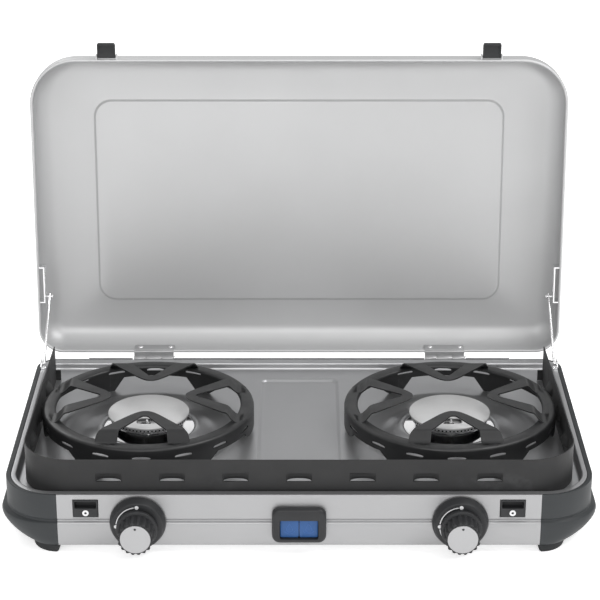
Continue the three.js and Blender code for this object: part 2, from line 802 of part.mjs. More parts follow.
function gasTap() {
  const housing = block([-TAP.halfX, TAP.frontY, TAP.lowZ], [TAP.halfX, TAP.rearY, TAP.highZ]);
  const nose = barY(9, TAP.frontY - 1, TAP.frontY + 1, 0, CONTROL_Z);
  const jet = barY(3, TAP.rearY - 1, TAP.rearY + 12, 0, 31, 12);
  const bore = barY(SPINDLE.radius + GAP, TAP.frontY - 5, SPINDLE.rootY + GAP, 0, CONTROL_Z);
  return cut(join(housing, nose, jet), bore);
}

function tapSpindle() {
  const rod = barY(SPINDLE.radius, SPINDLE.tipY, SPINDLE.rootY, 0, CONTROL_Z);
  const flat = block([-5, SPINDLE.tipY - 1, CONTROL_Z + 2.4], [5, SPINDLE.tipY + 12, CONTROL_Z + 6]);
  return cut(rod, flat);
}

/** Turns a [radius, forwards] profile about the knob's axis, which points at the user. */
function facingUser(profile, sides) {
  return turnedSolid(profile, sides).rotateX(Math.PI / 2).translate(0, 0, CONTROL_Z);
}

function dialPlate() {
  const depth = DIAL.backY - DIAL.frontY;
  const edge = [[DIAL.backR, 0], [DIAL.backR, 1.5], [DIAL.frontR, depth - 0.8], [DIAL.frontR - 0.8, depth]];
  const disc = facingUser([[0, 0], ...edge, [0, depth]], 24).translate(0, DIAL.backY, 0);
  return cut(disc, barY(6, DIAL.frontY - 1, DIAL.backY + 1, 0, CONTROL_Z));
}

function knob() {
  const flange = barY(KNOB.flangeR, KNOB.gripBackY, KNOB.backY, 0, CONTROL_Z, 24);
  const outline = new THREE.Shape();
  for (let k = 0; k < 2 * KNOB.flutes; k += 1) {
    const angle = (2 * Math.PI * k) / (2 * KNOB.flutes);
    const radius = KNOB.gripR + (k % 2 ? 0.5 : -0.6);
    const point = [radius * Math.cos(angle), radius * Math.sin(angle)];
    if (k === 0) outline.moveTo(...point);
    else outline.lineTo(...point);
  }
  const length = KNOB.gripBackY - KNOB.frontY + 1;
  const grip = plate(outline, 0, length).rotateX(Math.PI / 2).translate(0, KNOB.frontY + length, CONTROL_Z);
  const bore = barY(SPINDLE.radius + 0.25, SPINDLE.tipY - 4, KNOB.backY + 1, 0, CONTROL_Z);
  const seat = barY(14.2, KNOB.frontY - 1, KNOB.frontY + 1.2, 0, CONTROL_Z, 24);
  return cut(join(flange, grip), bore, seat);
}

/** The spun metal disc set in the knob's face. */
function knobCap() {
  const disc = facingUser([[0, 0], [13.9, 0], [13.9, 1.2], [13, 1.6], [0, 1.6]], 24);
  return disc.translate(0, KNOB.frontY + 0.9, 0);
}

function addControls() {
  for (const [name, side] of SIDES) {
    const control = new THREE.Group();
    control.position.x = side * CONTROL_X;
    body.add(control);
    piece(control, `gas_tap_${name}`, gasTap(), BRASS);
    piece(control, `tap_spindle_${name}`, tapSpindle(), BRASS);
    piece(control, `dial_plate_${name}`, dialPlate(), BLACK_PLASTIC);
    piece(control, `knob_${name}`, knob(), BLACK_PLASTIC);
    piece(control, `knob_cap_${name}`, knobCap(), ALUMINIUM);
  }
}

/** The hose nozzle: a hexagon behind the rear sheet and a ribbed stub outside it. */
function gasManifold() {
  const reach = CONTROL_X - TAP.halfX - GAP;
  const across = barX(4, -reach, reach, MANIFOLD_Y, CONTROL_Z, 12);
  const start = BODY.halfDepth - 14 + GAP;
  const feed = barY(4, MANIFOLD_Y, start + 1, INLET_X, CONTROL_Z, 12);
  const profile = [[0, 0], [9, 0], [9, 10.5], [6.5, 10.5], [6.5, 17], [4, 17.5]];
  for (const rib of [19, 23, 27]) profile.push([5.2, rib], [4.2, rib + 3.5]);
  const stub = turnedSolid([...profile, [0, profile.at(-1)[1]]], 10);
  const nozzle = stub.rotateX(-Math.PI / 2).translate(INLET_X, start, CONTROL_Z);
  const bore = barY(2.5, start + 14, start + 40, INLET_X, CONTROL_Z, 10);
  return cut(join(across, feed, nozzle), bore);
}

// ---------------------------------------------------------------- igniter

const BUTTON = { halfWidth: 8.5, lowZ: 18.6, highZ: 36.6, frontY: -156.5, backY: -146 };

function igniterBezel() {
  const { halfWidth, lowZ, highZ, cornerRadius, frontY, boxHalf, boxLowZ, boxHighZ } = IGNITER;
  const backY = PANEL_Y - 1.3;
  const middle = (lowZ + highZ) / 2;
  const half = (highZ - lowZ) / 2;
  const ring = (inset, forwards) =>
    roundedRing({
      halfX: halfWidth - inset,
      lowY: -half + inset,
      highY: half - inset,
      lowRadius: cornerRadius - inset,
      highRadius: cornerRadius - inset,
      z: forwards,
      steps: 4,
    });
  const depth = backY - frontY;
  const frame = skin([ring(0, 0), ring(0, depth - 2.5), ring(1.5, depth - 0.6), ring(2.6, depth)]);
  frame.rotateX(Math.PI / 2).translate(0, backY, middle);
  const box = block([-boxHalf, backY - 1, boxLowZ], [boxHalf, PANEL_Y + 9, boxHighZ]);
  const opening = block([-17.4, frontY - 1, 18.2], [17.4, PANEL_Y + 10, 37]);
  return cut(join(frame, box), opening);
}

function igniterButton() {
  const { halfWidth, lowZ, highZ, frontY, backY } = BUTTON;
  const half = (highZ - lowZ) / 2;
  const ring = (inset, forwards) =>
    roundedRing({
      halfX: halfWidth - inset,
      lowY: inset - half,
      highY: half - inset,
      lowRadius: 1.6 - inset,
      highRadius: 1.6 - inset,
      z: forwards,
      steps: 2,
    });
  const depth = backY - frontY;
  const cap = skin([ring(0, 0), ring(0, depth - 0.8), ring(0.8, depth)]);
  return cap.rotateX(Math.PI / 2).translate(0, backY, (lowZ + highZ) / 2);
}

function igniterModule() {
  const box = block([-18, -140, 17], [18, -121, 38]);
  const terminals = SIDES.map(([, side]) => barY(2.2, -123, -116, side * 11, 28, 10));
  return join(box, ...terminals);
}

/** The spark lead from the module's terminal to the foot of the electrode. */
function ignitionLead(side) {
  const points = [
    [side * 11, -115.6, 28],
    [side * 14, -100, 24],
    [side * 60, -72, 19],
    [side * 112, -50, 22],
    [side * (HOB_X - 18), -34, 33],
    [side * (HOB_X - 12), -27, 40],
    [side * (HOB_X - 3.5), HOB_Y - ELECTRODE_AHEAD, 42],
    [side * HOB_X, HOB_Y - ELECTRODE_AHEAD, 43.5],
    [side * HOB_X, HOB_Y - ELECTRODE_AHEAD, ELECTRODE_FOOT_Z - GAP],
  ];
  return tubeThrough(points, 1.4, { sides: 6, steps: 22 });
}

/** A pocket set in the front panel that takes the lid's latch; its lower half is closed by a boss. */
function latchCatch() {
  const { halfWidth, lowZ, highZ, depth, bossZ } = CATCH;
  const [outX, outLow, outHigh] = [halfWidth - GAP, lowZ + GAP, highZ - GAP];
  const shell = block([-outX, PANEL_Y - 0.2, outLow], [outX, PANEL_Y + depth, outHigh]);
  const recess = block([-outX + 1, PANEL_Y - 1, bossZ], [outX - 1, PANEL_Y + depth - 1.2, outHigh - 1]);
  return cut(shell, recess);
}

function addIgnition() {
  piece(body, "igniter_bezel", igniterBezel(), BLACK_PLASTIC);
  piece(body, "igniter_module", igniterModule(), BLACK_PLASTIC);
  piece(body, "gas_manifold", gasManifold(), ALUMINIUM);
  for (const [name, side] of SIDES) {
    const button = igniterButton().translate(side * (BUTTON.halfWidth + 0.2), 0, 0);
    piece(body, `igniter_button_${name}`, button, BLUE);
    piece(body, `ignition_lead_${name}`, ignitionLead(side), BLACK_PLASTIC);
    piece(body, `latch_catch_${name}`, latchCatch().translate(side * CATCH.x, 0, 0), BLACK_PLASTIC);
  }
}

// ---------------------------------------------------------------- lid

const LATCH = { x: 191.6, halfWidth: 9, along: 317.2, up: 3.4, barrelR: 1.9 };

/** A ring round the closed lid, moved inwards from its rim, at a height above the hinge axis. */
function lidRing(inset, z) {
  return roundedRing({
    halfX: LID.halfWidth - inset,
    lowY: -LID.front + inset,
    highY: -LID.rear - inset,
    lowRadius: Math.max(LID.freeRadius - inset, 6),
    highRadius: Math.max(LID.hingeRadius - inset, 4),
    z,
  });
}

function stepRing(inset, z) {
  return roundedRing({
    halfX: PANEL_STEP.halfWidth - inset,
    lowY: -PANEL_STEP.front + inset,
    highY: -PANEL_STEP.rear - inset,
    lowRadius: PANEL_STEP.radius - inset,
    highRadius: PANEL_STEP.radius - inset,
    z,
  });
}

/** The wall, its large fillet and the stepped panel, from the rim to the middle. */
function lidProfile(inset, topZ) {
  const { rimZ, fillet } = LID;
  const { slope, height } = PANEL_STEP;
  const radius = fillet - inset;
  const bend = [0, 22.5, 45, 67.5, 90].map((degrees) => {
    const angle = radians(degrees);
    return lidRing(inset + radius * (1 - Math.cos(angle)), topZ - radius * (1 - Math.sin(angle)));
  });
  return [lidRing(inset, rimZ), ...bend, stepRing(0, topZ), stepRing(slope, topZ - height)];
}

function lidShell() {
  const outside = lidProfile(0, LID.topZ);
  const inside = lidProfile(SHEET, LID.topZ - SHEET);
  const shell = skin([...inside.reverse(), ...outside]);
  const ears = SIDES.flatMap(([, side]) =>
    [-1, 1].map((end) => {
      const x = side * LATCH.x + end * (LATCH.halfWidth + GAP + 0.8);
      return block([x - 0.8, -LATCH.along - 1.6, LID.rimZ], [x + 0.8, -LID.front + 0.6, LID.rimZ + 5]);
    }),
  );
  return join(shell, ...ears);
}

/** A latch that pivots at the lid's free edge; at rest it points straight away from the lid. */
function latch() {
  const { halfWidth, along, up, barrelR } = LATCH;
  const section = [
    [0, up - barrelR],
    [0, up + barrelR],
    [-12, up + 1.8],
    [-13.6, up + 0.4],
    [-13.6, up - 5],
    [-11.2, up - 5],
    [-11.2, up - 1.4],
    [-3, up - 1.4],
  ].map(([y, z]) => [y - along, z]);
  const arm = barOfSection(section, -halfWidth, halfWidth);
  return join(arm, barX(barrelR, -halfWidth, halfWidth, -along, up, 12));
}

/** The lid's half of a hinge: a middle knuckle and a leaf that turns up inside the lid's wall. */
function hingeLidLeaf() {
  const wallInside = -LID.rear - SHEET;
  const half = HINGE_WIDTH / 2;
  const leaf = [
    [0, 1.5],
    [0, 2.7],
    [wallInside - 0.3, 2.7],
    [wallInside - 0.3, 21],
    [wallInside - 1.5, 21],
    [wallInside - 1.5, 1.5],
  ];
  const strip = barOfSection(leaf, -half, half);
  const knuckle = barX(KNUCKLE_R, -8, 8, 0, 0, 14);
  const clear = SIDES.map(([, side]) => {
    const [a, b] = [side * 8, side * (half + 1)].sort((p, q) => p - q);
    return block([a, -KNUCKLE_R - 0.4, -5], [b, 5, 3.3]);
  });
  return cut(join(strip, knuckle), barX(PIN_R + 0.1, -half - 1, half + 1, 0, 0, 12), ...clear);
}

/** The casing's half of a hinge, in hinge-axis coordinates. */
function hingeBaseLeaf() {
  const backOfSheet = BODY.halfDepth - LID.axisY + GAP;
  const half = HINGE_WIDTH / 2;
  const leaf = [
    [backOfSheet, -18],
    [backOfSheet + 1.2, -18],
    [backOfSheet + 1.2, -2.6],
    [0, -2.8],
    [0, -1],
    [backOfSheet, -1],
  ];
  const outer = SIDES.map(([, side]) => {
    const [a, b] = [side * 8.3, side * half].sort((p, q) => p - q);
    return barX(KNUCKLE_R, a, b, 0, 0, 14);
  });
  const room = block([-8.3, -KNUCKLE_R - 0.4, -3.6], [8.3, 6, 6]);
  const strip = cut(barOfSection(leaf, -half, half), room);
  return cut(join(strip, ...outer), barX(PIN_R + 0.1, -half - 1, half + 1, 0, 0, 12));
}

function hingePin() {
  const half = HINGE_WIDTH / 2;
  return join(barX(PIN_R, -half - 0.3, half + 1, 0, 0, 12), barX(2.6, half + GAP, half + 1.6, 0, 0, 12));
}

// ---------------------------------------------------------------- struts

/** Place of a strut's cross pin in the lid, as [along, up], when the lid is closed by an angle. */
function strutPinInLid(closing) {
  const open = radians(LID.openAngle);
  const pinY = LID.axisY - STRUT.pinAlong * Math.cos(open) + STRUT.pinUp * Math.sin(open);
  const pinZ = LID.axisZ + STRUT.pinAlong * Math.sin(open) + STRUT.pinUp * Math.cos(open);
  const swing = new THREE.Vector2(pinY - STRUT.footY, pinZ - STRUT.footZ);
  swing.rotateAround(new THREE.Vector2(0, 0), closing * STRUT_RATIO);
  const place = new THREE.Vector2(STRUT.footY + swing.x - LID.axisY, STRUT.footZ + swing.y - LID.axisZ);
  place.rotateAround(new THREE.Vector2(0, 0), open - closing);
  return [-place.x, place.y];
}

/** Turns of the strut for each turn of the lid, so that the pin ends at its starting height. */
function strutRatio() {
  const open = radians(LID.openAngle);
  const pinY = LID.axisY - STRUT.pinAlong * Math.cos(open) + STRUT.pinUp * Math.sin(open);
  const pinZ = LID.axisZ + STRUT.pinAlong * Math.sin(open) + STRUT.pinUp * Math.cos(open);
  const length = Math.hypot(pinY - STRUT.footY, pinZ - STRUT.footZ);
  const closedRise = LID.axisZ + STRUT.pinUp - STRUT.footZ;
  const openAngle = Math.atan2(pinZ - STRUT.footZ, pinY - STRUT.footY);
  return (Math.PI - Math.asin(closedRise / length) - openAngle) / open;
}

const STRUT_RATIO = strutRatio();

/** The wire strut in its open place, in casing coordinates, on the +X side. */
function strut() {
  const [along, up] = strutPinInLid(0);
  const open = radians(LID.openAngle);
  const topY = LID.axisY - along * Math.cos(open) + up * Math.sin(open);
  const topZ = LID.axisZ + along * Math.sin(open) + up * Math.cos(open);
  const foot = new THREE.Vector3(STRUT.footX, STRUT.footY, STRUT.footZ);
  const top = new THREE.Vector3(STRUT.x, topY, topZ);
  const over = top.clone().sub(foot).setLength(3.2);
  const wire = new THREE.ExtrudeGeometry(
    new THREE.Shape().absarc(0, 0, STRUT.wireR, 0, 2 * Math.PI),
    { steps: 1, curveSegments: 4, extrudePath: new THREE.LineCurve3(foot, top.clone().add(over)) },
  );
  const crossPin = barX(STRUT.wireR, STRUT.x - 3.5, STRUT.x + 6, topY, topZ, 8);
  const footPin = barX(STRUT.wireR, STRUT.footX - 1.6, STRUT.footX + 3.4, STRUT.footY, STRUT.footZ, 8);
  return join(wire, crossPin, footPin);
}

const STRUT_PLATE = { lowX: 261.9, highX: 263.1 };

/** The slotted bracket on the lid's end wall, in lid coordinates, on the +X side. */
function strutLidBracket() {
  const steps = 22;
  const turn = radians(LID.openAngle);
  const path = Array.from({ length: steps + 1 }, (_, k) => strutPinInLid((turn * k) / steps));
  const alongs = path.map(([along]) => along);
  const ups = path.map(([, up]) => up);
  const [near, far] = [Math.min(...alongs) - 4.5, Math.max(...alongs) + 4.5];
  const [low, high] = [Math.min(...ups) - 4.5, Math.max(...ups) + 4.5];
  const wallX = LID.halfWidth - SHEET - GAP;
  const sheet = block([STRUT_PLATE.lowX, -far, low], [STRUT_PLATE.highX, -near, high]);
  const feet = [
    block([STRUT_PLATE.lowX, -far, low], [wallX, -far + 1.2, high]),
    block([STRUT_PLATE.lowX, -near - 1.2, low], [wallX, -near, high]),
  ];
  const slot = path.map(([along, up]) => barX(STRUT.wireR + 0.7, 255, 264.5, -along, up, 8));
  return cut(join(sheet, ...feet), ...slot);
}

/** The upright ear on the tray's flange that carries the strut's foot, on the +X side. */
function strutBaseBracket() {
  const { footX, footY, footZ } = STRUT;
  const [lowX, highX] = [footX + 2.2, footX + 3.4];
  const lowZ = BODY.rimZ + GAP;
  const ear = block([lowX, footY - 4, lowZ], [highX, footY + 4, footZ + 3]);
  const base = block([footX - 2.4, footY - 10, lowZ], [highX, footY - 3, lowZ + 1]);
  const fold = block([lowX, footY - 10, lowZ], [highX, footY - 3, BODY.rimZ + 3]);
  const hole = barX(STRUT.wireR + 0.25, footX, highX + 1, footY, footZ, 10);
  return cut(join(ear, base, fold), hole);
}

function addLid() {
  piece(lid, "lid_shell", lidShell(), SILVER);
  const bracket = strutLidBracket();
  const wire = strut();
  const ear = strutBaseBracket();
  for (const [name, side] of SIDES) {
    piece(lid, `latch_${name}`, latch().translate(side * LATCH.x, 0, 0), BLACK_PLASTIC);
    piece(lid, `hinge_lid_leaf_${name}`, hingeLidLeaf().translate(side * HINGE_X, 0, 0), BRIGHT);
    piece(lid, `strut_lid_bracket_${name}`, onSide(bracket, side), BRIGHT);
    piece(body, `strut_${name}`, onSide(wire, side), BRIGHT);
    piece(body, `strut_base_bracket_${name}`, onSide(ear, side), BRIGHT);
    const hinge = new THREE.Group();
    hinge.position.set(side * HINGE_X, LID.axisY, LID.axisZ);
    body.add(hinge);
    piece(hinge, `hinge_base_leaf_${name}`, hingeBaseLeaf(), BRIGHT);
    piece(hinge, `hinge_pin_${name}`, hingePin(), BRIGHT);
  }
}

addCasing();
addFeet();
addHob();
addControls();
addIgnition();
addLid();

export default stove;
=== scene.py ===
"""A two-burner camp stove with its lid propped open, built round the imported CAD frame.

Shapes are drawn in millimetres in casing coordinates, as the CAD source draws them, and build()
takes them to metres in the row frame."""

import json
import math

import bmesh
import bpy
from mathutils import Matrix, Vector


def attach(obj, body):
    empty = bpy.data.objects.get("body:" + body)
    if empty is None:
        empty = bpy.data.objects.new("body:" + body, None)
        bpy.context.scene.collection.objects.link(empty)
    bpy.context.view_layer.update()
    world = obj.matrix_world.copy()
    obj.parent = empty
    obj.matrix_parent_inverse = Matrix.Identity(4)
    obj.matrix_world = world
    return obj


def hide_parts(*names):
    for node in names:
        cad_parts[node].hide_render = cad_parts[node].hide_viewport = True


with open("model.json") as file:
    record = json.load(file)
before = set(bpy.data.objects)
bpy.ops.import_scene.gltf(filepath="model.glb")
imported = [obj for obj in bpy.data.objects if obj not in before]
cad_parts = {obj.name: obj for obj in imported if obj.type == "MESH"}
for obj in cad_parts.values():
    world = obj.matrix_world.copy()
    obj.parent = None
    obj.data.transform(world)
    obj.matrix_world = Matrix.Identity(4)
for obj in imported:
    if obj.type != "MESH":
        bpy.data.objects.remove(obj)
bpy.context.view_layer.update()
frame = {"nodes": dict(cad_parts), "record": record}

SCENE = bpy.context.scene

# ------------------------------------------------------------------ dimensions, in millimetres

MM = 0.001
SHIFT_Y = -15.6  # the whole stove is centred on Y = 0
SIDES = (("left", -1), ("right", 1))

HALF_WIDTH, HALF_DEPTH, RIM_Z, BOTTOM_Z = 269.4, 152.5, 60.0, 8.0
FRONT_RADIUS, REAR_RADIUS = 47.0, 20.0
FRONT_SEAM_X, REAR_SEAM_X = 218.9, 218.0
CREASE_Z, CREASE = 33.5, 1.7
BUMPER = 5.2
PANEL_SHEET = 1.2
FLOOR_Z = 52.6
HOB_X, HOB_Y = 145.0, -3.0
CONTROL_X, CONTROL_Z = 145.6, 33.0
CATCH_X, CATCH_HALF, CATCH_LOW, CATCH_HIGH = 192.6, 11.6, 37.3, 55.2
LATCH_X, LATCH_HALF = 191.6, 9.0

LID_Y, LID_Z, LID_OPEN = 157.7, 58.0, 94.2
LID_HALF, LID_REAR, LID_FRONT = 269.8, 5.2, 314.2
LID_RIM, LID_TOP, LID_SHEET = 3.0, 39.42, 1.2
LID_FILLET = 20.0
HINGE_X, HINGE_HALF = 151.0, 20.5

CASING = Matrix.Scale(MM, 4) @ Matrix.Translation((0, SHIFT_Y, 0))
LID = CASING @ Matrix.Translation((0, LID_Y, LID_Z)) @ Matrix.Rotation(-math.radians(LID_OPEN), 4, "X")


# ------------------------------------------------------------------ mesh helpers


def arc(cx, cy, radius, start, end, steps):
    """Points on a circle between two angles in degrees."""
    angles = [math.radians(start + (end - start) * k / steps) for k in range(steps + 1)]
    return [(cx + radius * math.cos(a), cy + radius * math.sin(a)) for a in angles]


def spline(points, steps):
    """A smooth curve through points of any dimension."""
    out = []
    last = len(points) - 1
    for k in range(last):
        p0, p1, p2, p3 = (points[min(max(k + d, 0), last)] for d in (-1, 0, 1, 2))
        for j in range(steps):
            t = j / steps
            weights = (
                -0.5 * t + t * t - 0.5 * t**3,
                1 - 2.5 * t * t + 1.5 * t**3,
                0.5 * t + 2 * t * t - 1.5 * t**3,
                -0.5 * t * t + 0.5 * t**3,
            )
            out.append(tuple(sum(w * p[i] for w,
                                 p in zip(weights, (p0, p1, p2, p3))) for i in range(len(p1))))
    return out + [tuple(points[-1])]


def rounded(points, radius, steps=4, closed=False):
    """A polyline with its corners rounded; radius is one number or one for each point."""
    count = len(points)
    radii = radius if hasattr(radius, "__len__") else [radius] * count
    out = []
    for k, point in enumerate(points):
        here = Vector(point)
        if not closed and k in (0, count - 1) or radii[k] == 0:
            out.append(tuple(here))
            continue
        before = Vector(points[k - 1]) - here
        after = Vector(points[(k + 1) % count]) - here
        start = here + before.normalized() * min(radii[k], before.length * 0.49)
        end = here + after.normalized() * min(radii[k], after.length * 0.49)
        for j in range(steps + 1):
            t = j / steps
            out.append(tuple(start * (1 - t) ** 2 + here * 2 * t * (1 - t) + end * t * t))
    return out


def sampled(points, count):
    """The given number of points, evenly spaced along a polyline."""
    vectors = [Vector(p) for p in points]
    lengths = [0.0]
    for a, b in zip(vectors, vectors[1:]):
        lengths.append(lengths[-1] + (b - a).length)
    out = []
    k = 0
    for j in range(count):
        want = lengths[-1] * j / (count - 1)
        while k < len(vectors) - 2 and lengths[k + 1] < want:
            k += 1
        span = max(lengths[k + 1] - lengths[k], 1e-9)
        out.append(tuple(vectors[k].lerp(vectors[k + 1], (want - lengths[k]) / span)))
    return out


def rounded_rect(half_x, low_y, high_y, low_r, high_r, steps=14):
    """A rounded rectangle as a ring of (x, y) points, always with the same number of points."""
    return (
        arc(half_x - low_r, low_y + low_r, low_r, -90, 0, steps)
        + arc(half_x - high_r, high_y - high_r, high_r, 0, 90, steps)
        + arc(high_r - half_x, high_y - high_r, high_r, 90, 180, steps)
        + arc(low_r - half_x, low_y + low_r, low_r, 180, 270, steps)
    )


def circle(radius, sides, cx=0.0, cy=0.0):
    angles = [2 * math.pi * k / sides for k in range(sides)]
    return [(cx + radius * math.cos(t), cy + radius * math.sin(t)) for t in angles]


def at_z(ring, z):
    return [(x, y, z) for x, y in ring]


class Shell:
    """The points and faces of one piece, with a finish number for each face."""

    def __init__(self):
        self.points = []
        self.faces = []
        self.finishes = []

    def add(self, points):
        start = len(self.points)
        self.points.extend(tuple(p) for p in points)
        return list(range(start, len(self.points)))

    def face(self, corners, finish=0):
        self.faces.append(tuple(corners))
        self.finishes.append(finish)

    def bridge(self, a, b, closed=True, finish=0, skip=None):
        for i in range(len(a) if closed else len(a) - 1):
            j = (i + 1) % len(a)
            if skip is None or not skip(i):
                self.face((a[i], a[j], b[j], b[i]), finish)

    def loft(self, rings, closed=True, looped=False, caps=True, finish=0):
        """A skin over matching rings, looped back to its start or closed by flat caps."""
        ids = [self.add(ring) for ring in rings]
        for a, b in zip(ids, ids[1:]):
            self.bridge(a, b, closed, finish)
        if looped:
            self.bridge(ids[-1], ids[0], closed, finish)
        elif caps and closed:
            self.face(reversed(ids[0]), finish)
            self.face(ids[-1], finish)
        return ids

    def lathe(self, profile, sides, place=None, looped=False, caps=True, finish=0):
        """A profile of (radius, height) points turned about the axis that place() gives."""
        place = place or (lambda a, b, h: (a, b, h))
        rings = []
        for radius, height in profile:
            angles = [2 * math.pi * k / sides for k in range(sides)]
            rings.append([place(radius * math.cos(t), radius * math.sin(t), height) for t in angles])
        return self.loft(rings, looped=looped, caps=caps, finish=finish)

    def block(self, low, high, bevel=0.3, corner=None, finish=0):
        """A box with rounded edges."""
        (x0, y0, z0), (x1, y1, z1) = low, high
        cx, cy = (x0 + x1) / 2, (y0 + y1) / 2
        corner = corner or 2 * bevel
        rings = []
        for inset, z in ((bevel, z0), (0.3 * bevel, z0 + 0.3 * bevel), (0, z0 + bevel),
                         (0, z1 - bevel), (0.3 * bevel, z1 - 0.3 * bevel), (bevel, z1)):
            half_x, half_y = (x1 - x0) / 2 - inset, (y1 - y0) / 2 - inset
            radius = max(corner - inset, 0.02)
            ring = rounded_rect(half_x, -half_y, half_y, radius, radius, 3)
            rings.append([(cx + x, cy + y, z) for x, y in ring])
        self.loft(rings, finish=finish)

    def strip(self, section, low_x, high_x, bevel=0.2, finish=0):
        """A closed (y, z) section stretched along X."""
        middle = Vector((sum(p[0] for p in section), sum(p[1] for p in section))) / len(section)
        rings = []
        for x, inset in ((low_x, bevel), (low_x + bevel, 0), (high_x - bevel, 0), (high_x, bevel)):
            ring = []
            for y, z in section:
                away = Vector((y, z)) - middle
                share = 1 - min(inset / max(away.length, 1e-6), 0.5)
                ring.append((x, middle.x + away.x * share, middle.y + away.y * share))
            rings.append(ring)
        self.loft(rings, finish=finish)

    def tube(self, points, radius, sides=12, caps=True, finish=0):
        """A round bar along a polyline; radius is one number or one for each point."""
        line = [Vector(p) for p in points]
        radii = radius if hasattr(radius, "__len__") else [radius] * len(line)
        tangent = (line[1] - line[0]).normalized()
        side = tangent.orthogonal().normalized()
        rings = []
        for k, point in enumerate(line):
            ahead = line[min(k + 1, len(line) - 1)] - line[max(k - 1, 0)]
            new = ahead.normalized() if ahead.length > 1e-9 else tangent
            side = tangent.rotation_difference(new) @ side
            tangent = new
            up = tangent.cross(side)
            angles = [2 * math.pi * j / sides for j in range(sides)]
            around = [side * math.cos(t) + up * math.sin(t) for t in angles]
            rings.append([tuple(point + radii[k] * outwards) for outwards in around])
        self.loft(rings, caps=caps, finish=finish)

    def pin(self, start, end, radius, sides=20, bevel=0.25, finish=0):
        """A straight round bar with rounded ends."""
        start, end = Vector(start), Vector(end)
        step = (end - start).normalized() * bevel
        points = [start, start + step * 0.3, start + step, end - step, end - step * 0.3, end]
        inner = radius - bevel
        radii = [inner, radius - 0.3 * bevel, radius, radius, radius - 0.3 * bevel, inner]
        self.tube(points, radii, sides, finish=finish)

    def join(self, other, move=lambda p: p, finish=None):
        start = len(self.points)
        self.points.extend(tuple(move(p)) for p in other.points)
        self.faces.extend(tuple(i + start for i in face) for face in other.faces)
        self.finishes.extend(other.finishes if finish is None else [finish] * len(other.faces))


def mirrored(side):
    return lambda p: (side * p[0], p[1], p[2])


def build(name, shell, body, finishes, replaces=(), at=CASING, sharp=38, solid=0.0, solid_offset=0.0,
          bevel=0.0):
    """Makes the piece from its shell, ties it to its body, and hides the CAD nodes it replaces."""
    mesh = bpy.data.meshes.new(name)
    mesh.from_pydata([at @ Vector(p) for p in shell.points], [], shell.faces)
    for finish in finishes:
        mesh.materials.append(finish)
    mesh.polygons.foreach_set("material_index", shell.finishes)
    work = bmesh.new()
    work.from_mesh(mesh)
    bmesh.ops.remove_doubles(work, verts=work.verts, dist=2e-6)
    bmesh.ops.dissolve_degenerate(work, edges=work.edges, dist=1e-6)
    bmesh.ops.recalc_face_normals(work, faces=work.faces)
    work.to_mesh(mesh)
    work.free()
    mesh.shade_smooth()
    if not bevel:
        mesh.set_sharp_from_angle(angle=math.radians(sharp))
    piece = bpy.data.objects.new(name, mesh)
    SCENE.collection.objects.link(piece)
    if solid:
        thicken = piece.modifiers.new("sheet", "SOLIDIFY")
        thicken.thickness = solid * MM
        thicken.offset = solid_offset
        thicken.use_even_offset = True
    if bevel:
        soften = piece.modifiers.new("edges", "BEVEL")
        soften.width = bevel * MM
        soften.segments = 2
        soften.limit_method = "ANGLE"
        soften.angle_limit = math.radians(sharp)
        soften.harden_normals = True
    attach(piece, body)
    if replaces:
        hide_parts(*replaces)
    return piece


# ------------------------------------------------------------------ materials


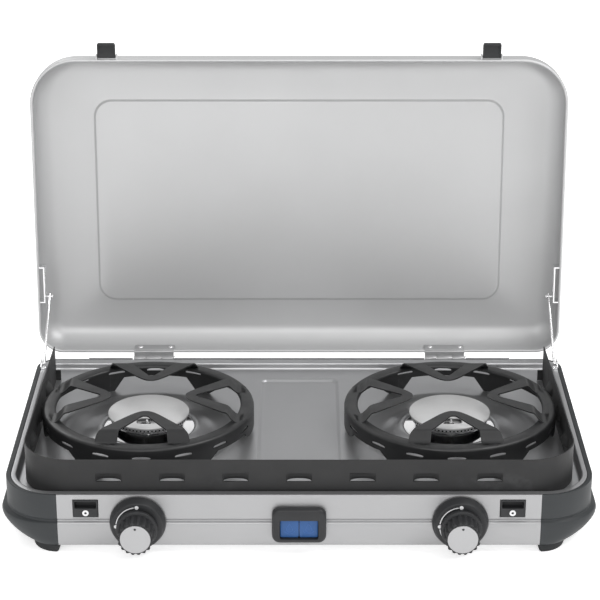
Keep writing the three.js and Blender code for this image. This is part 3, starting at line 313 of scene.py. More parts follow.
class Finish:
    """Builds one procedural material from layers of noise in the object's own coordinates."""

    def __init__(self, name, color, metallic=0.0, specular=0.5, ior=1.5, coat=0.0, coat_roughness=0.1):
        self.material = bpy.data.materials.new(name)
        self.material.use_nodes = True
        self.tree = self.material.node_tree
        self.shader = self.tree.nodes["Principled BSDF"]
        self.shader.inputs["Metallic"].default_value = metallic
        self.shader.inputs["Specular IOR Level"].default_value = specular
        self.shader.inputs["IOR"].default_value = ior
        self.shader.inputs["Coat Weight"].default_value = coat
        self.shader.inputs["Coat Roughness"].default_value = coat_roughness
        self.color = color
        self.coordinates = self.node("ShaderNodeTexCoord").outputs["Object"]
        self.bump_from = None
        self.tint = self.rgb(color)

    def node(self, kind, **settings):
        made = self.tree.nodes.new(kind)
        for key, value in settings.items():
            if key in made.inputs:
                made.inputs[key].default_value = value
            else:
                setattr(made, key, value)
        return made

    def link(self, source, target):
        self.tree.links.new(source, target)

    def rgb(self, color):
        made = self.node("ShaderNodeRGB")
        made.outputs[0].default_value = (*color, 1)
        return made.outputs[0]

    def mapped(self, stretch, about=(0, 0, 0)):
        """The object's coordinates, moved to a centre and stretched."""
        mapping = self.node("ShaderNodeMapping", vector_type="POINT")
        mapping.inputs["Location"].default_value = tuple(-a * s for a, s in zip(about, stretch))
        mapping.inputs["Scale"].default_value = stretch
        self.link(self.coordinates, mapping.inputs["Vector"])
        return mapping.outputs["Vector"]

    def noise(self, scale, detail=3.0, rough=0.55, stretch=(1, 1, 1), distortion=0.0):
        texture = self.node("ShaderNodeTexNoise", Scale=scale, Detail=detail, Roughness=rough,
                            Distortion=distortion)
        self.link(self.mapped(stretch), texture.inputs["Vector"])
        return texture.outputs["Fac"]

    def ranged(self, value, low, high, to_low, to_high):
        ranged = self.node("ShaderNodeMapRange",
                           **{"From Min": low, "From Max": high, "To Min": to_low, "To Max": to_high})
        self.link(value, ranged.inputs["Value"])
        return ranged.outputs["Result"]

    def math(self, operation, a, b):
        made = self.node("ShaderNodeMath", operation=operation)
        for socket, value in zip(made.inputs, (a, b)):
            if isinstance(value, (int, float)):
                socket.default_value = value
            else:
                self.link(value, socket)
        return made.outputs[0]

    def mix(self, share, color):
        """Mixes the tint so far towards another colour."""
        made = self.node("ShaderNodeMix", data_type="RGBA")
        if isinstance(share, (int, float)):
            made.inputs["Factor"].default_value = share
        else:
            self.link(share, made.inputs["Factor"])
        self.link(self.tint, made.inputs[6])
        made.inputs[7].default_value = (*color, 1)
        self.tint = made.outputs[2]

    def shades(self, factor):
        return tuple(min(1.0, c * factor) for c in self.color)

    def mottle(self, scale, amount, **noise):
        """Lighter and darker areas of the finish's own colour."""
        share = self.ranged(self.noise(scale, **noise), 0.3, 0.7, 0, 1)
        self.mix(self.math("MULTIPLY", share, 0.5), self.shades(1 + amount))
        low = self.ranged(self.noise(scale * 1.7, **noise), 0.35, 0.65, 0, 0.5)
        self.mix(low, self.shades(1 - amount))

    def wear(self, color, amount, low=0.52, high=0.62):
        """Rubbed edges, where the surface is sharply convex."""
        edge = self.ranged(self.node("ShaderNodeNewGeometry").outputs["Pointiness"], low, high, 0, amount)
        patchy = self.ranged(self.noise(160, detail=4), 0.4, 0.62, 0, 1)
        self.mix(self.math("MULTIPLY", edge, patchy), color)

    def bump(self, height, depth, strength=1.0):
        """Adds a bump layer; depth is in millimetres."""
        made = self.node("ShaderNodeBump", Strength=strength, Distance=depth * MM)
        self.link(height, made.inputs["Height"])
        if self.bump_from:
            self.link(self.bump_from, made.inputs["Normal"])
        self.bump_from = made.outputs["Normal"]

    def about_axis(self, centres, axis):
        """Distance in metres from the nearest of the axes through the centres."""
        nearest = None
        for centre in centres:
            moved = self.node("ShaderNodeVectorMath", operation="SUBTRACT")
            self.link(self.coordinates, moved.inputs[0])
            moved.inputs[1].default_value = centre
            flat = self.node("ShaderNodeVectorMath", operation="MULTIPLY")
            self.link(moved.outputs["Vector"], flat.inputs[0])
            flat.inputs[1].default_value = tuple(0.0 if k == axis else 1.0 for k in range(3))
            length = self.node("ShaderNodeVectorMath", operation="LENGTH")
            self.link(flat.outputs["Vector"], length.inputs[0])
            value = length.outputs["Value"]
            nearest = value if nearest is None else self.math("MINIMUM", nearest, value)
        return nearest

    def rings(self, centres, axis, scale):
        """Fine concentric grooves, as turning leaves them."""
        distance = self.about_axis(centres, axis)
        texture = self.node("ShaderNodeTexNoise", noise_dimensions="1D", Scale=scale, Detail=4.0,
                            Roughness=0.7)
        self.link(distance, texture.inputs["W"])
        return texture.outputs["Fac"]

    def done(self, roughness):
        self.link(self.tint, self.shader.inputs["Base Color"])
        if isinstance(roughness, (int, float)):
            self.shader.inputs["Roughness"].default_value = roughness
        else:
            self.link(roughness, self.shader.inputs["Roughness"])
        if self.bump_from:
            self.link(self.bump_from, self.shader.inputs["Normal"])
        return self.material


def sheet_metal(name, color, roughness, grain=0.004, brush=(1, 1, 1), metallic=1.0):
    """Satin pressed sheet: a faint grain, handling marks in its gloss, and lighter edges."""
    made = Finish(name, color, metallic=metallic)
    made.mottle(9, 0.02)
    made.wear(made.shades(1.25), 0.35)
    made.bump(made.noise(1400, detail=2, stretch=brush), grain)
    made.bump(made.noise(25, detail=1), 0.02)
    smudge = made.ranged(made.noise(14, detail=5, rough=0.6), 0.3, 0.7, roughness - 0.035,
                         roughness + 0.045)
    fine = made.ranged(made.noise(600, detail=2, stretch=brush), 0.3, 0.7, -0.02, 0.02)
    return made.done(made.math("ADD", smudge, fine))


def plastic(name, color, roughness, grain_scale=1500, grain=0.02, worn=1.9):
    """Moulded plastic with a fine pebbled grain."""
    made = Finish(name, color, specular=0.3)
    made.mottle(22, 0.06)
    made.wear(made.shades(worn), 0.4)
    pebbles = made.node("ShaderNodeTexVoronoi", Scale=grain_scale, feature="SMOOTH_F1")
    made.link(made.coordinates, pebbles.inputs["Vector"])
    made.bump(pebbles.outputs["Distance"], grain)
    return made.done(made.ranged(made.noise(40, detail=4), 0.3, 0.7, roughness - 0.05, roughness + 0.06))


def coated(name, color, roughness, worn, coat=0.0, specular=0.5):
    """Enamel or paint on steel: orange peel, dust in the gloss, and thinner colour on edges."""
    made = Finish(name, color, specular=specular, coat=coat, coat_roughness=0.25)
    made.mottle(30, 0.07)
    made.wear(worn, 0.45)
    made.bump(made.noise(420, detail=1), 0.012)
    made.bump(made.noise(2200, detail=2), 0.004)
    return made.done(made.ranged(made.noise(55, detail=5), 0.3, 0.7, roughness - 0.06, roughness + 0.08))


def turned_metal(name, color, roughness, centres, axis, scale=4200, depth=0.012, metallic=1.0):
    """Metal with concentric turning marks about its axes."""
    made = Finish(name, color, metallic=metallic)
    grooves = made.rings(centres, axis, scale)
    made.mix(made.ranged(grooves, 0.35, 0.65, 0, 0.25), made.shades(0.8))
    made.wear(made.shades(1.2), 0.3)
    made.bump(grooves, depth)
    marks = made.ranged(made.noise(30, detail=5), 0.3, 0.7, roughness - 0.03, roughness + 0.06)
    return made.done(made.math("ADD", marks, made.ranged(grooves, 0.3, 0.7, -0.03, 0.03)))


def plated(name, color, roughness):
    """Bright plating with faint haze and hairlines."""
    made = Finish(name, color, metallic=1.0)
    made.mottle(60, 0.04)
    made.bump(made.noise(900, detail=2, stretch=(1, 1, 6)), 0.002)
    return made.done(made.ranged(made.noise(45, detail=5), 0.3, 0.7, roughness - 0.03, roughness + 0.07))


def rubber(name, color):
    made = Finish(name, color, specular=0.3)
    made.mottle(35, 0.12)
    made.wear(made.shades(2.2), 0.4)
    made.bump(made.noise(1800, detail=3), 0.03)
    return made.done(made.ranged(made.noise(80, detail=3), 0.3, 0.7, 0.7, 0.9))


def glazed(name, color):
    made = Finish(name, color, specular=0.5, coat=0.4, coat_roughness=0.1)
    made.mottle(90, 0.04)
    made.bump(made.noise(700, detail=2), 0.006)
    return made.done(made.ranged(made.noise(120, detail=3), 0.3, 0.7, 0.2, 0.38))


BURNER_AXES = [(side * HOB_X * MM, (HOB_Y + SHIFT_Y) * MM, 0) for _, side in SIDES]
KNOB_AXES = [(side * CONTROL_X * MM, 0, CONTROL_Z * MM) for _, side in SIDES]

LID_SILVER = sheet_metal("lid_silver", (0.52, 0.522, 0.525), 0.5, metallic=0.5)
PANEL_SILVER = sheet_metal("panel_silver", (0.36, 0.36, 0.365), 0.42, metallic=0.75)
TRAY_GREY = sheet_metal("tray_grey", (0.42, 0.422, 0.43), 0.32, metallic=0.8)
CASING_GREY = plastic("casing_grey", (0.03, 0.033, 0.035), 0.5)
ENAMEL = coated("enamel_dark", (0.013, 0.0133, 0.014), 0.42, (0.08, 0.08, 0.083), coat=0.05)
WINDSHIELD_GREY = coated("windshield_grey", (0.024, 0.024, 0.0245), 0.58, (0.05, 0.05, 0.052), specular=0.3)
CONTROL_PLASTIC = plastic("control_plastic", (0.021, 0.0215, 0.023), 0.45)
FOOT_RUBBER = rubber("foot_rubber", (0.02, 0.021, 0.022))
BRIGHT_STEEL = plated("bright_steel", (0.82, 0.82, 0.825), 0.22)
HINGE_GREY = sheet_metal("hinge_grey", (0.38, 0.38, 0.385), 0.36, metallic=0.6)
CHROME_CUP = turned_metal("burner_steel_cup", (0.78, 0.78, 0.785), 0.16, BURNER_AXES, 2, depth=0.003)
BURNER_STEEL = turned_metal("burner_steel", (0.72, 0.72, 0.72), 0.4, BURNER_AXES, 2, scale=2600,
                            metallic=0.5)
CAST_ALUMINIUM = sheet_metal("cast_aluminium", (0.74, 0.74, 0.745), 0.45, grain=0.02)
KNOB_METAL = turned_metal("spun_aluminium", (0.38, 0.38, 0.385), 0.32, KNOB_AXES, 1, scale=5200)
BRASS = sheet_metal("brass", (0.71, 0.55, 0.27), 0.32)
CERAMIC = glazed("ceramic", (0.86, 0.85, 0.82))
BUTTON_BLUE = plastic("button_blue", (0.028, 0.09, 0.25), 0.34, grain=0.006, worn=1.4)
ICON_BLUE = plastic("icon_blue", (0.045, 0.12, 0.32), 0.4, grain=0.006, worn=1.2)
MARK_WHITE = coated("mark_white", (0.75, 0.75, 0.76), 0.5, (0.6, 0.6, 0.61))
LEAD_SLEEVE = rubber("lead_sleeve", (0.03, 0.03, 0.033))
# Near-black finish for the port pockets and the latch catch's hole: painted shade, standing in for the dark
# inside of a hole.
PAINTED_SHADE_BORE = rubber("painted_shade_bore", (0.01, 0.01, 0.011))

CARRIED = {
    "lid_silver": LID_SILVER,
    "panel_silver": PANEL_SILVER,
    "tray_grey": TRAY_GREY,
    "casing_grey": CASING_GREY,
    "enamel_dark": ENAMEL,
    "windshield_grey": WINDSHIELD_GREY,
    "control_plastic": CONTROL_PLASTIC,
    "foot_rubber": FOOT_RUBBER,
    "bright_steel": BRIGHT_STEEL,
    "burner_steel": BURNER_STEEL,
    "cast_aluminium": CAST_ALUMINIUM,
    "brass": BRASS,
    "ceramic": CERAMIC,
    "button_blue": BUTTON_BLUE,
    "lead_sleeve": LEAD_SLEEVE,
}


def dress_cad_nodes():
    """Gives every CAD node the finish of its material slot."""
    for part in frame["record"]["subparts"]:
        node = frame["nodes"][part["node"]]
        node.data.materials.clear()
        node.data.materials.append(CARRIED[part["material_slot"]])


# ------------------------------------------------------------------ casing


def end_stations():
    """(x, y, outward x, outward y, sideways) round the casing on the +X side."""
    stations = [(FRONT_SEAM_X, -HALF_DEPTH, 0.0, -1.0, 0.0)]
    corners = ((FRONT_RADIUS, FRONT_RADIUS - HALF_DEPTH, -90, 18),
               (REAR_RADIUS, HALF_DEPTH - REAR_RADIUS, 0, 12))
    for radius, centre_y, start, steps in corners:
        for k in range(steps + 1):
            angle = math.radians(start + 90 * k / steps)
            nx, ny = math.cos(angle), math.sin(angle)
            stations.append((HALF_WIDTH - radius + radius * nx, centre_y + radius * ny, nx, ny, nx * nx))
    stations.append((REAR_SEAM_X, HALF_DEPTH, 0.0, 1.0, 0.0))
    return stations


def rim_width(sideways):
    return 1.8 + 2.8 * sideways


def casing_outside(sideways):
    """The casing's section from rim to underside as (outward, z): a creased panel at the front and
    rear, which turns into a soft bumper at the sides."""
    panel = [(-1.2, RIM_Z), (0, RIM_Z), (0, CREASE_Z + 2.5), (-CREASE, CREASE_Z + 0.5),
             (-CREASE, CREASE_Z - 1.3),
             (0.2, CREASE_Z - 2.5), (0.6, 27), (0.5, 22), (0.1, 16), (-0.8, 11.5), (-2.2, BOTTOM_Z)]
    end = [(-1.2, RIM_Z), (0, RIM_Z), (0, CREASE_Z + 2.5), (0, CREASE_Z + 0.5), (0, CREASE_Z - 1.3),
           (0.85 * BUMPER, CREASE_Z - 3.5), (BUMPER, 27.5), (0.8 * BUMPER, 23.5), (-1, 17), (-9, 11.5),
           (-20, BOTTOM_Z)]
    points = [tuple(a + (b - a) * sideways for a, b in zip(p, q)) for p, q in zip(panel, end)]
    upper = rounded(points[:7], [0, 0.7, 1.1, 0.5, 0.4, 0.8, 0], 3)
    return upper + spline(points[6:], 4)[1:]


def casing_section(sideways):
    wall = 1.5 + sideways
    behind_crease = -wall - 1.4 * (1 - sideways)
    outside = casing_outside(sideways)
    inner_rim = -rim_width(sideways)
    inside = [
        (-2.8 - 17.8 * sideways, BOTTOM_Z + 2),
        (0.1 - 1.1 * sideways - wall, 18),
        (behind_crease, 31),
        (behind_crease, 36),
        (-wall, 38),
        (-wall, 57),
        (inner_rim, 57),
        (inner_rim, RIM_Z - 0.5),
        (inner_rim + 0.5, RIM_Z),
    ]
    return outside + inside


def end_casing(side):
    shell = Shell()
    rings = []
    for x, y, nx, ny, sideways in end_stations():
        rings.append([(side * (x + nx * out), y + ny * out, z) for out, z in casing_section(sideways)])
    shell.loft(rings)
    return shell


def panel_grid(half_width, facing, holes, dimples):
    """The front or rear sheet, pressed in at the dimples and open at the holes."""
    section = casing_outside(0.0)[3:]
    wall = [(out, z) for out, z in section if z < RIM_Z - 0.05]
    levels = sorted({z for _, _, low, high in holes for z in (low, high)})
    points = sorted({(0.0, RIM_Z), *wall, *((0.0, z) for z in levels)}, key=lambda p: -p[1])
    stations = {-half_width, half_width}
    for x, half, _, _ in holes:
        stations |= {x - half, x + half}
    for x, half in dimples:
        stations |= {x + half * (k / 8 - 1) for k in range(17)}
    stations = sorted(stations)
    shell = Shell()
    columns = []
    for x in stations:
        column = []
        for out, z in points:
            press = 0.0
            for centre, half in dimples:
                u, v = (x - centre) / half, (z - CREASE_Z) / 4.5
                press += 0.7 * max(0.0, 1 - u * u - v * v) ** 1.5
            column.append((x, facing * (HALF_DEPTH + out - PANEL_SHEET / 2 - press), z))
        columns.append(shell.add(column))
    for k in range(len(stations) - 1):
        middle = (stations[k] + stations[k + 1]) / 2
        for i in range(len(points) - 1):
            height = (points[i][1] + points[i + 1][1]) / 2
            if any(abs(middle - x) < half and low < height < high for x, half, low, high in holes):
                continue
            a, b = columns[k], columns[k + 1]
            shell.face((a[i], b[i], b[i + 1], a[i + 1]))
    return shell


def add_casing():
    catches = [(side * CATCH_X, CATCH_HALF, CATCH_LOW, CATCH_HIGH) for _, side in SIDES]
    front = panel_grid(FRONT_SEAM_X - 0.3, -1, catches, [(side * CATCH_X, 17.0) for _, side in SIDES])
    build("front_sheet", front, "casing", [PANEL_SILVER], ["front_panel"],
          solid=PANEL_SHEET, bevel=0.25)
    hinges = [(side * HINGE_X, HINGE_HALF + 1, RIM_Z - 1.4, RIM_Z + 1) for _, side in SIDES]
    rear = panel_grid(REAR_SEAM_X - 0.3, 1, hinges, [])
    for x in (-150, -75, 0, 130, 160):
        rear.join(rivet_head(2.6, 0.9), lambda p, x=x: (x + p[0], HALF_DEPTH + p[2] - 0.1, 52 + p[1]))
    build("rear_sheet", rear, "casing", [PANEL_SILVER], ["rear_panel"], solid=PANEL_SHEET,
          bevel=0.25)
    for name, side in SIDES:
        shell = end_casing(side)
        build(f"end_shell_{name}", shell, "casing", [CASING_GREY], [f"end_casing_{name}"])


def rivet_head(radius, height, sides=20):
    """A domed head on the XY plane, rising along +Z."""
    shell = Shell()
    profile = [(radius * math.cos(t), height * math.sin(t)) for t in (0, 0.35, 0.7, 1.05, 1.3, 1.45)]
    shell.lathe([(radius, -0.3), *profile], sides)
    return shell


FOOT_X, FOOT_Y = 220.0, 126.4


def rubber_foot(side, end):
    """A block whose round outer side follows the casing's corner, with ribs across its sole."""
    shell = Shell()
    rings = []
    levels = [(23.6, 3.0, 7.8), (24.2, 3.0, 7.5), (24.3, 3.0, 7.0), (24.1, 2.6, 5.6), (23.6, 1.3, 2.0),
              (23.3, 1.0, 1.0), (22.8, 0.8, 0.4), (22.3, 0.6, 0.1)]
    for radius, inward, z in levels:
        corner = rounded([(radius, 0), (radius, 12), (-inward, 12), (-inward, -radius + 2)], [0, 4, 2, 0],
                         5)
        ring = arc(0, 0, radius, -88, 0, 22) + corner[1:]
        rings.append([(side * (FOOT_X + x), end * (FOOT_Y - y), z) for x, y in ring])
    shell.loft(rings)
    for k in range(-2, 2):
        x = sorted((side * (FOOT_X + 1.5), side * (FOOT_X + 18 - 2 * abs(k))))
        y = end * FOOT_Y - 5 * end * k
        shell.block((x[0], y - 1.2, 0.0), (x[1], y + 1.2, 0.6), 0.15)
    return shell


def add_feet():
    for place, end in (("front", -1), ("rear", 1)):
        for name, side in SIDES:
            node = f"foot_{place}_{name}"
            build(f"rubber_{node}", rubber_foot(side, end), "casing", [FOOT_RUBBER], [node])


# ------------------------------------------------------------------ hob tray

FLANGE_SIDE, FLANGE_FRONT, FLANGE_REAR = 5.2, 6.7, 9.2
DISH_R = 92.0
DISH_SIDES = 96
TRAY_SHEET = 1.2
DISH = [
    (DISH_R, FLOOR_Z), (88, FLOOR_Z - 0.1), (84, FLOOR_Z - 0.9), (79, FLOOR_Z - 2.3), (72, FLOOR_Z - 2.6),
    (66, FLOOR_Z - 2.4), (61, FLOOR_Z - 1), (54, 55.0), (49, 57.6), (46.5, 58.5), (44.3, 58.3),
    (43.6, 57.2),
]
WELL_HALF, WELL_LOW, WELL_HIGH, WELL_R, WELL_DEPTH = 41.0, -120.0, 119.0, 9.0, 2.5


def tray_ring(inset, flange_share, z):
    """A full ring round the tray, moved in from the casing's rim by the flange and an inset."""
    right = []
    for x, y, nx, ny, sideways in end_stations()[1:-1]:
        end = FLANGE_FRONT if ny < 0 else FLANGE_REAR
        flange = flange_share * (end + (FLANGE_SIDE - end) * sideways)
        move = rim_width(sideways) + flange + inset
        right.append((x - nx * move, y - ny * move, z))
    return right + [(-x, y, z) for x, y, z in reversed(right)]


def well_ring(inset, z):
    radius = max(WELL_R - inset, 1)
    return at_z(rounded_rect(WELL_HALF - inset, WELL_LOW + inset, WELL_HIGH - inset, radius, radius, 10), z)


def fill_between(shell, outlines, z, finish=0):
    """A flat face at one height inside the first outline and outside the others."""
    work = bmesh.new()
    for outline in outlines:
        vertices = [work.verts.new((x, y, z)) for x, y, *_ in outline]
        for a, b in zip(vertices, vertices[1:] + vertices[:1]):
            work.edges.new((a, b))
    bmesh.ops.triangle_fill(work, edges=work.edges[:], use_beauty=True, use_dissolve=False)
    work.verts.index_update()
    ids = shell.add([v.co for v in work.verts])
    for face in work.faces:
        shell.face([ids[v.index] for v in face.verts], finish)
    work.free()


def tray_side(shell, drop, thick):
    """One side of the tray's sheet: the top with drop 0, the underside with drop of a sheet."""
    edge = [
        (0.3, 0.0, RIM_Z), (-1.8, 1.0, RIM_Z), (-0.9, 1.0, RIM_Z - 0.15), (-0.2, 1.0, RIM_Z - 0.7),
        (0.1, 1.0, RIM_Z - 1.8), (0.5, 1.0, FLOOR_Z + 2.6), (0.9, 1.0, FLOOR_Z + 1.2),
        (1.7, 1.0, FLOOR_Z + 0.35), (2.8, 1.0, FLOOR_Z + 0.05), (3.6, 1.0, FLOOR_Z),
    ]
    rings = [tray_ring(inset - thick * (0.5 < share), share, z - drop) for inset, share, z in edge]
    shell.loft(rings, caps=False)
    circles = []
    for _, side in SIDES:
        centre = (side * HOB_X, HOB_Y)
        profile = spline(DISH, 3)
        place = lambda a, b, h, c=centre: (c[0] + a, c[1] + b, h)
        shell.lathe([(r, z - drop) for r, z in profile], DISH_SIDES, place, caps=False)
        circles.append(circle(DISH_R, DISH_SIDES, *centre))
    slope = [(0, 0), (0.8, 0.1), (1.6, 0.4), (2.6, 1.1), (3.4, 1.9), (4.2, 2.35), (5.2, WELL_DEPTH)]
    well = shell.loft([well_ring(inset, FLOOR_Z - drop - deep) for inset, deep in slope], caps=False)
    shell.face(well[-1])
    fill_between(shell, [rings[-1], *circles, well_ring(0, 0)], FLOOR_Z - drop)


def add_tray():
    top = Shell()
    tray_side(top, 0.0, 0.0)
    under = Shell()
    tray_side(under, TRAY_SHEET, TRAY_SHEET)
    top.join(under)
    edges = [(tray_ring(0.3, 0, RIM_Z), tray_ring(0.3, 0, RIM_Z - TRAY_SHEET))]
    radius, height = DISH[-1]
    for _, side in SIDES:
        ring = circle(radius, DISH_SIDES, side * HOB_X, HOB_Y)
        edges.append((at_z(ring, height), at_z(ring, height - TRAY_SHEET)))
    for a, b in edges:
        top.bridge(top.add(a), top.add(b))
    build("tray_pressing", top, "casing", [TRAY_GREY],
          ["hob_tray", "tray_rim", "burner_dish_left", "burner_dish_right"], sharp=50)


# ------------------------------------------------------------------ windshield

SHIELD_FRONT_X, SHIELD_REAR_X, SHIELD_FRONT_Y, SHIELD_REAR_Y = 252.2, 248.8, -142.6, 115.0
SHIELD_RADIUS, SHIELD_TOP, SHIELD_SHEET = 45.0, 89.9, 1.0
LOUVRE_PITCH, LOUVRE_HALF, LOUVRE_LOW, LOUVRE_HIGH, LOUVRE_DEPTH = 57.3, 11.75, 68.4, 76.8, 5.0
SIDE_LOUVRES = (-62.0, -5.0, 52.0)


def shield_line():
    """Stations down the +X side and across the front to the middle: (x, y, inward x, inward y)."""
    inset = SHIELD_SHEET / 2
    side_stops = {SHIELD_REAR_Y, SHIELD_FRONT_Y + SHIELD_RADIUS}
    for y in SIDE_LOUVRES:
        side_stops |= {y - LOUVRE_HALF, y + LOUVRE_HALF}
    corner_y = SHIELD_FRONT_Y + SHIELD_RADIUS
    out = []
    for y in sorted(side_stops, reverse=True):
        share = (y - corner_y) / (SHIELD_REAR_Y - corner_y)
        x = SHIELD_FRONT_X + (SHIELD_REAR_X - SHIELD_FRONT_X) * share
        out.append((x - inset, y, -1.0, 0.0))
    for k in range(1, 17):
        angle = math.radians(-90 * k / 16)
        nx, ny = math.cos(angle), math.sin(angle)
        reach = SHIELD_RADIUS - inset
        out.append((SHIELD_FRONT_X - SHIELD_RADIUS + reach * nx, corner_y + reach * ny, -nx, -ny))
    for k in range(3, -1, -1):
        for edge in (LOUVRE_HALF, -LOUVRE_HALF):
            x = k * LOUVRE_PITCH + edge
            if x > 0:
                out.append((x, SHIELD_FRONT_Y + inset, 0.0, 1.0))
    return out


def in_louvre(a, b):
    """Whether the wall between two stations is a louvre's opening."""
    x, y = (abs(a[0]) + abs(b[0])) / 2, (a[1] + b[1]) / 2
    if abs(a[1] - b[1]) < 1e-6:
        return abs(abs(a[0] - b[0]) - 2 * LOUVRE_HALF) < 1e-6
    on_side = x > 240 and any(abs(y - c) < 1 for c in SIDE_LOUVRES)
    return on_side and abs(abs(a[1] - b[1]) - 2 * LOUVRE_HALF) < 1e-6


def hood(shell, centre, along, inward):
    """The pressed hood of a louvre: closed at its top and sides, open along its lower edge."""
    rows = []
    for v in (0, 0.12, 0.3, 0.5, 0.7, 0.88, 1.0):
        row = []
        for k in range(25):
            u = k / 12 - 1
            bow = math.sqrt(max(0.0, 1 - abs(u) ** 2.4))
            depth = LOUVRE_DEPTH * bow * (v * v * (3 - 2 * v)) ** 0.8
            z = LOUVRE_HIGH + (LOUVRE_LOW + 0.9 * bow - LOUVRE_HIGH) * v
            row.append((centre[0] + along[0] * u * LOUVRE_HALF + inward[0] * depth,
                        centre[1] + along[1] * u * LOUVRE_HALF + inward[1] * depth, z))
        rows.append(row)
    ids = [shell.add(row) for row in rows]
    for a, b in zip(ids, ids[1:]):
        shell.bridge(a, b, closed=False)


def add_windshield():
    half = shield_line()
    line = half + [(-x, y, -nx, ny) for x, y, nx, ny in reversed(half)]
    levels = [FLOOR_Z + 0.3, LOUVRE_LOW, LOUVRE_HIGH, SHIELD_TOP]
    shell = Shell()
    rows = [shell.add([(x, y, z) for x, y, _, _ in line]) for z in levels]
    for k in range(3):
        skip = (lambda i: in_louvre(line[i], line[i + 1])) if k == 1 else None
        shell.bridge(rows[k], rows[k + 1], closed=False, skip=skip)
    inset = SHIELD_SHEET / 2
    for k in range(-3, 4):
        hood(shell, (k * LOUVRE_PITCH, SHIELD_FRONT_Y + inset), (1, 0), (0, 1))
    corner_y = SHIELD_FRONT_Y + SHIELD_RADIUS
    for _, side in SIDES:
        for y in SIDE_LOUVRES:
            share = (y - corner_y) / (SHIELD_REAR_Y - corner_y)
            x = SHIELD_FRONT_X + (SHIELD_REAR_X - SHIELD_FRONT_X) * share - inset
            hood(shell, (side * x, y), (0, 1), (-side, 0))
        near, far = side * (SHIELD_REAR_X - inset), side * (SHIELD_REAR_X - 6)
        tab = [(near, SHIELD_REAR_Y - 0.5), (side * (SHIELD_REAR_X - 1.6), SHIELD_REAR_Y - 0.5),
               (far, SHIELD_REAR_Y - 0.5)]
        low = shell.add(at_z(tab, FLOOR_Z + 0.3))
        high = shell.add(at_z(tab, 64))
        shell.bridge(low, high, closed=False)
    build("wind_guard", shell, "windshield", [WINDSHIELD_GREY], ["windshield"],
          solid=SHIELD_SHEET, sharp=60, bevel=0.22)


# ------------------------------------------------------------------ pot supports

RING_OUT, RING_IN, RING_Z, ARM_Z, SUPPORT_SHEET = 101.5, 89.0, 81.6, 90.0, 1.4
SLOT_LOW, SLOT_SHOULDER, SLOT_HIGH, SLOT_HALF = 71.0, 72.2, 73.8, 4.86
# Gates between the legs, as half angles at the top and at the floor, and the height of the top.
FRONT_GATE = (18.2, 24.0, 66.0)
SIDE_GATE = (46.5, 57.0, 67.0)
TAB_FLAT, TAB_HALF, TAB_Z = 14.0, 22.0, 60.0


def off_axis(angle, every, first=0.0):
    """How far an angle is from the nearest of the evenly spaced ones."""
    return (angle - first + every / 2) % every - every / 2


def gate_edge(off, gate):
    """The skirt's lower edge at an angle off the middle of a gate."""
    top_half, floor_half, top = gate
    floor = FLOOR_Z + 0.3
    share = min(max((off - top_half) / (floor_half - top_half), 0.0), 1.0)
    return top + (floor - top) * share


def skirt_heights(angle):
    """(lower edge, slot's lower edge, slot's upper edge) of the skirt at an angle in degrees."""
    sideways = abs(off_axis(angle, 180))
    low = max(gate_edge(90 - sideways, FRONT_GATE), gate_edge(sideways, SIDE_GATE))
    if sideways < TAB_HALF:
        t = max(0.0, (sideways - TAB_FLAT) / (TAB_HALF - TAB_FLAT))
        low = SIDE_GATE[2] - (SIDE_GATE[2] - TAB_Z) * math.sqrt(1 - t * t)
    across = abs(off_axis(angle, 22.5)) / SLOT_HALF
    if across > 0.999:
        return low, SLOT_SHOULDER, SLOT_SHOULDER
    return low, SLOT_LOW, SLOT_SHOULDER + (SLOT_HIGH - SLOT_SHOULDER) * math.sqrt(1 - across * across)


def support_angles():
    """Stations round the ring, close together, with one at each corner of a slot or gate."""
    angles = {1.25 * k for k in range(288)}
    for first, gate in ((90, FRONT_GATE), (0, SIDE_GATE)):
        for half in gate[:2]:
            angles |= {(first + 180 * k + s * half) % 360 for k in range(2) for s in (-1, 1)}
    for half in (14, 17, 19.5, 21, 21.7, 22):
        angles |= {(180 * k + s * half) % 360 for k in range(2) for s in (-1, 1)}
    for k in range(16):
        angles |= {(22.5 * k + s * SLOT_HALF) % 360 for s in (-1, -0.97, -0.9, 0.9, 0.97, 1)}
    kept = []
    for angle in sorted(angles):
        if not kept or angle - kept[-1] > 0.05:
            kept.append(angle)
    return kept


def support_ring(shell):
    half = SUPPORT_SHEET / 2
    top = RING_Z - half
    outer = RING_OUT - half
    lip = [(RING_IN + 0.2, top - 2.2), (RING_IN + 0.3, top - 1.2), (RING_IN + 0.8, top - 0.35),
           (RING_IN + 1.8, top)]
    edge = [(outer - 2.4, top), (outer - 1.2, top - 0.3), (outer - 0.35, top - 1.1), (outer, top - 2.3)]
    angles = support_angles()
    columns = []
    for angle in angles:
        low, slot_low, slot_high = skirt_heights(angle)
        profile = [*lip, *edge, (outer, slot_high), (outer, slot_low), (outer, low)]
        turn = math.radians(angle)
        columns.append(shell.add([(r * math.cos(turn), r * math.sin(turn), z) for r, z in profile]))
    hole_row = len(lip) + len(edge)
    for k, here in enumerate(columns):
        after = columns[(k + 1) % len(columns)]
        for i in range(len(here) - 1):
            if i == hole_row:
                continue
            shell.face((here[i], after[i], after[i + 1], here[i + 1]))


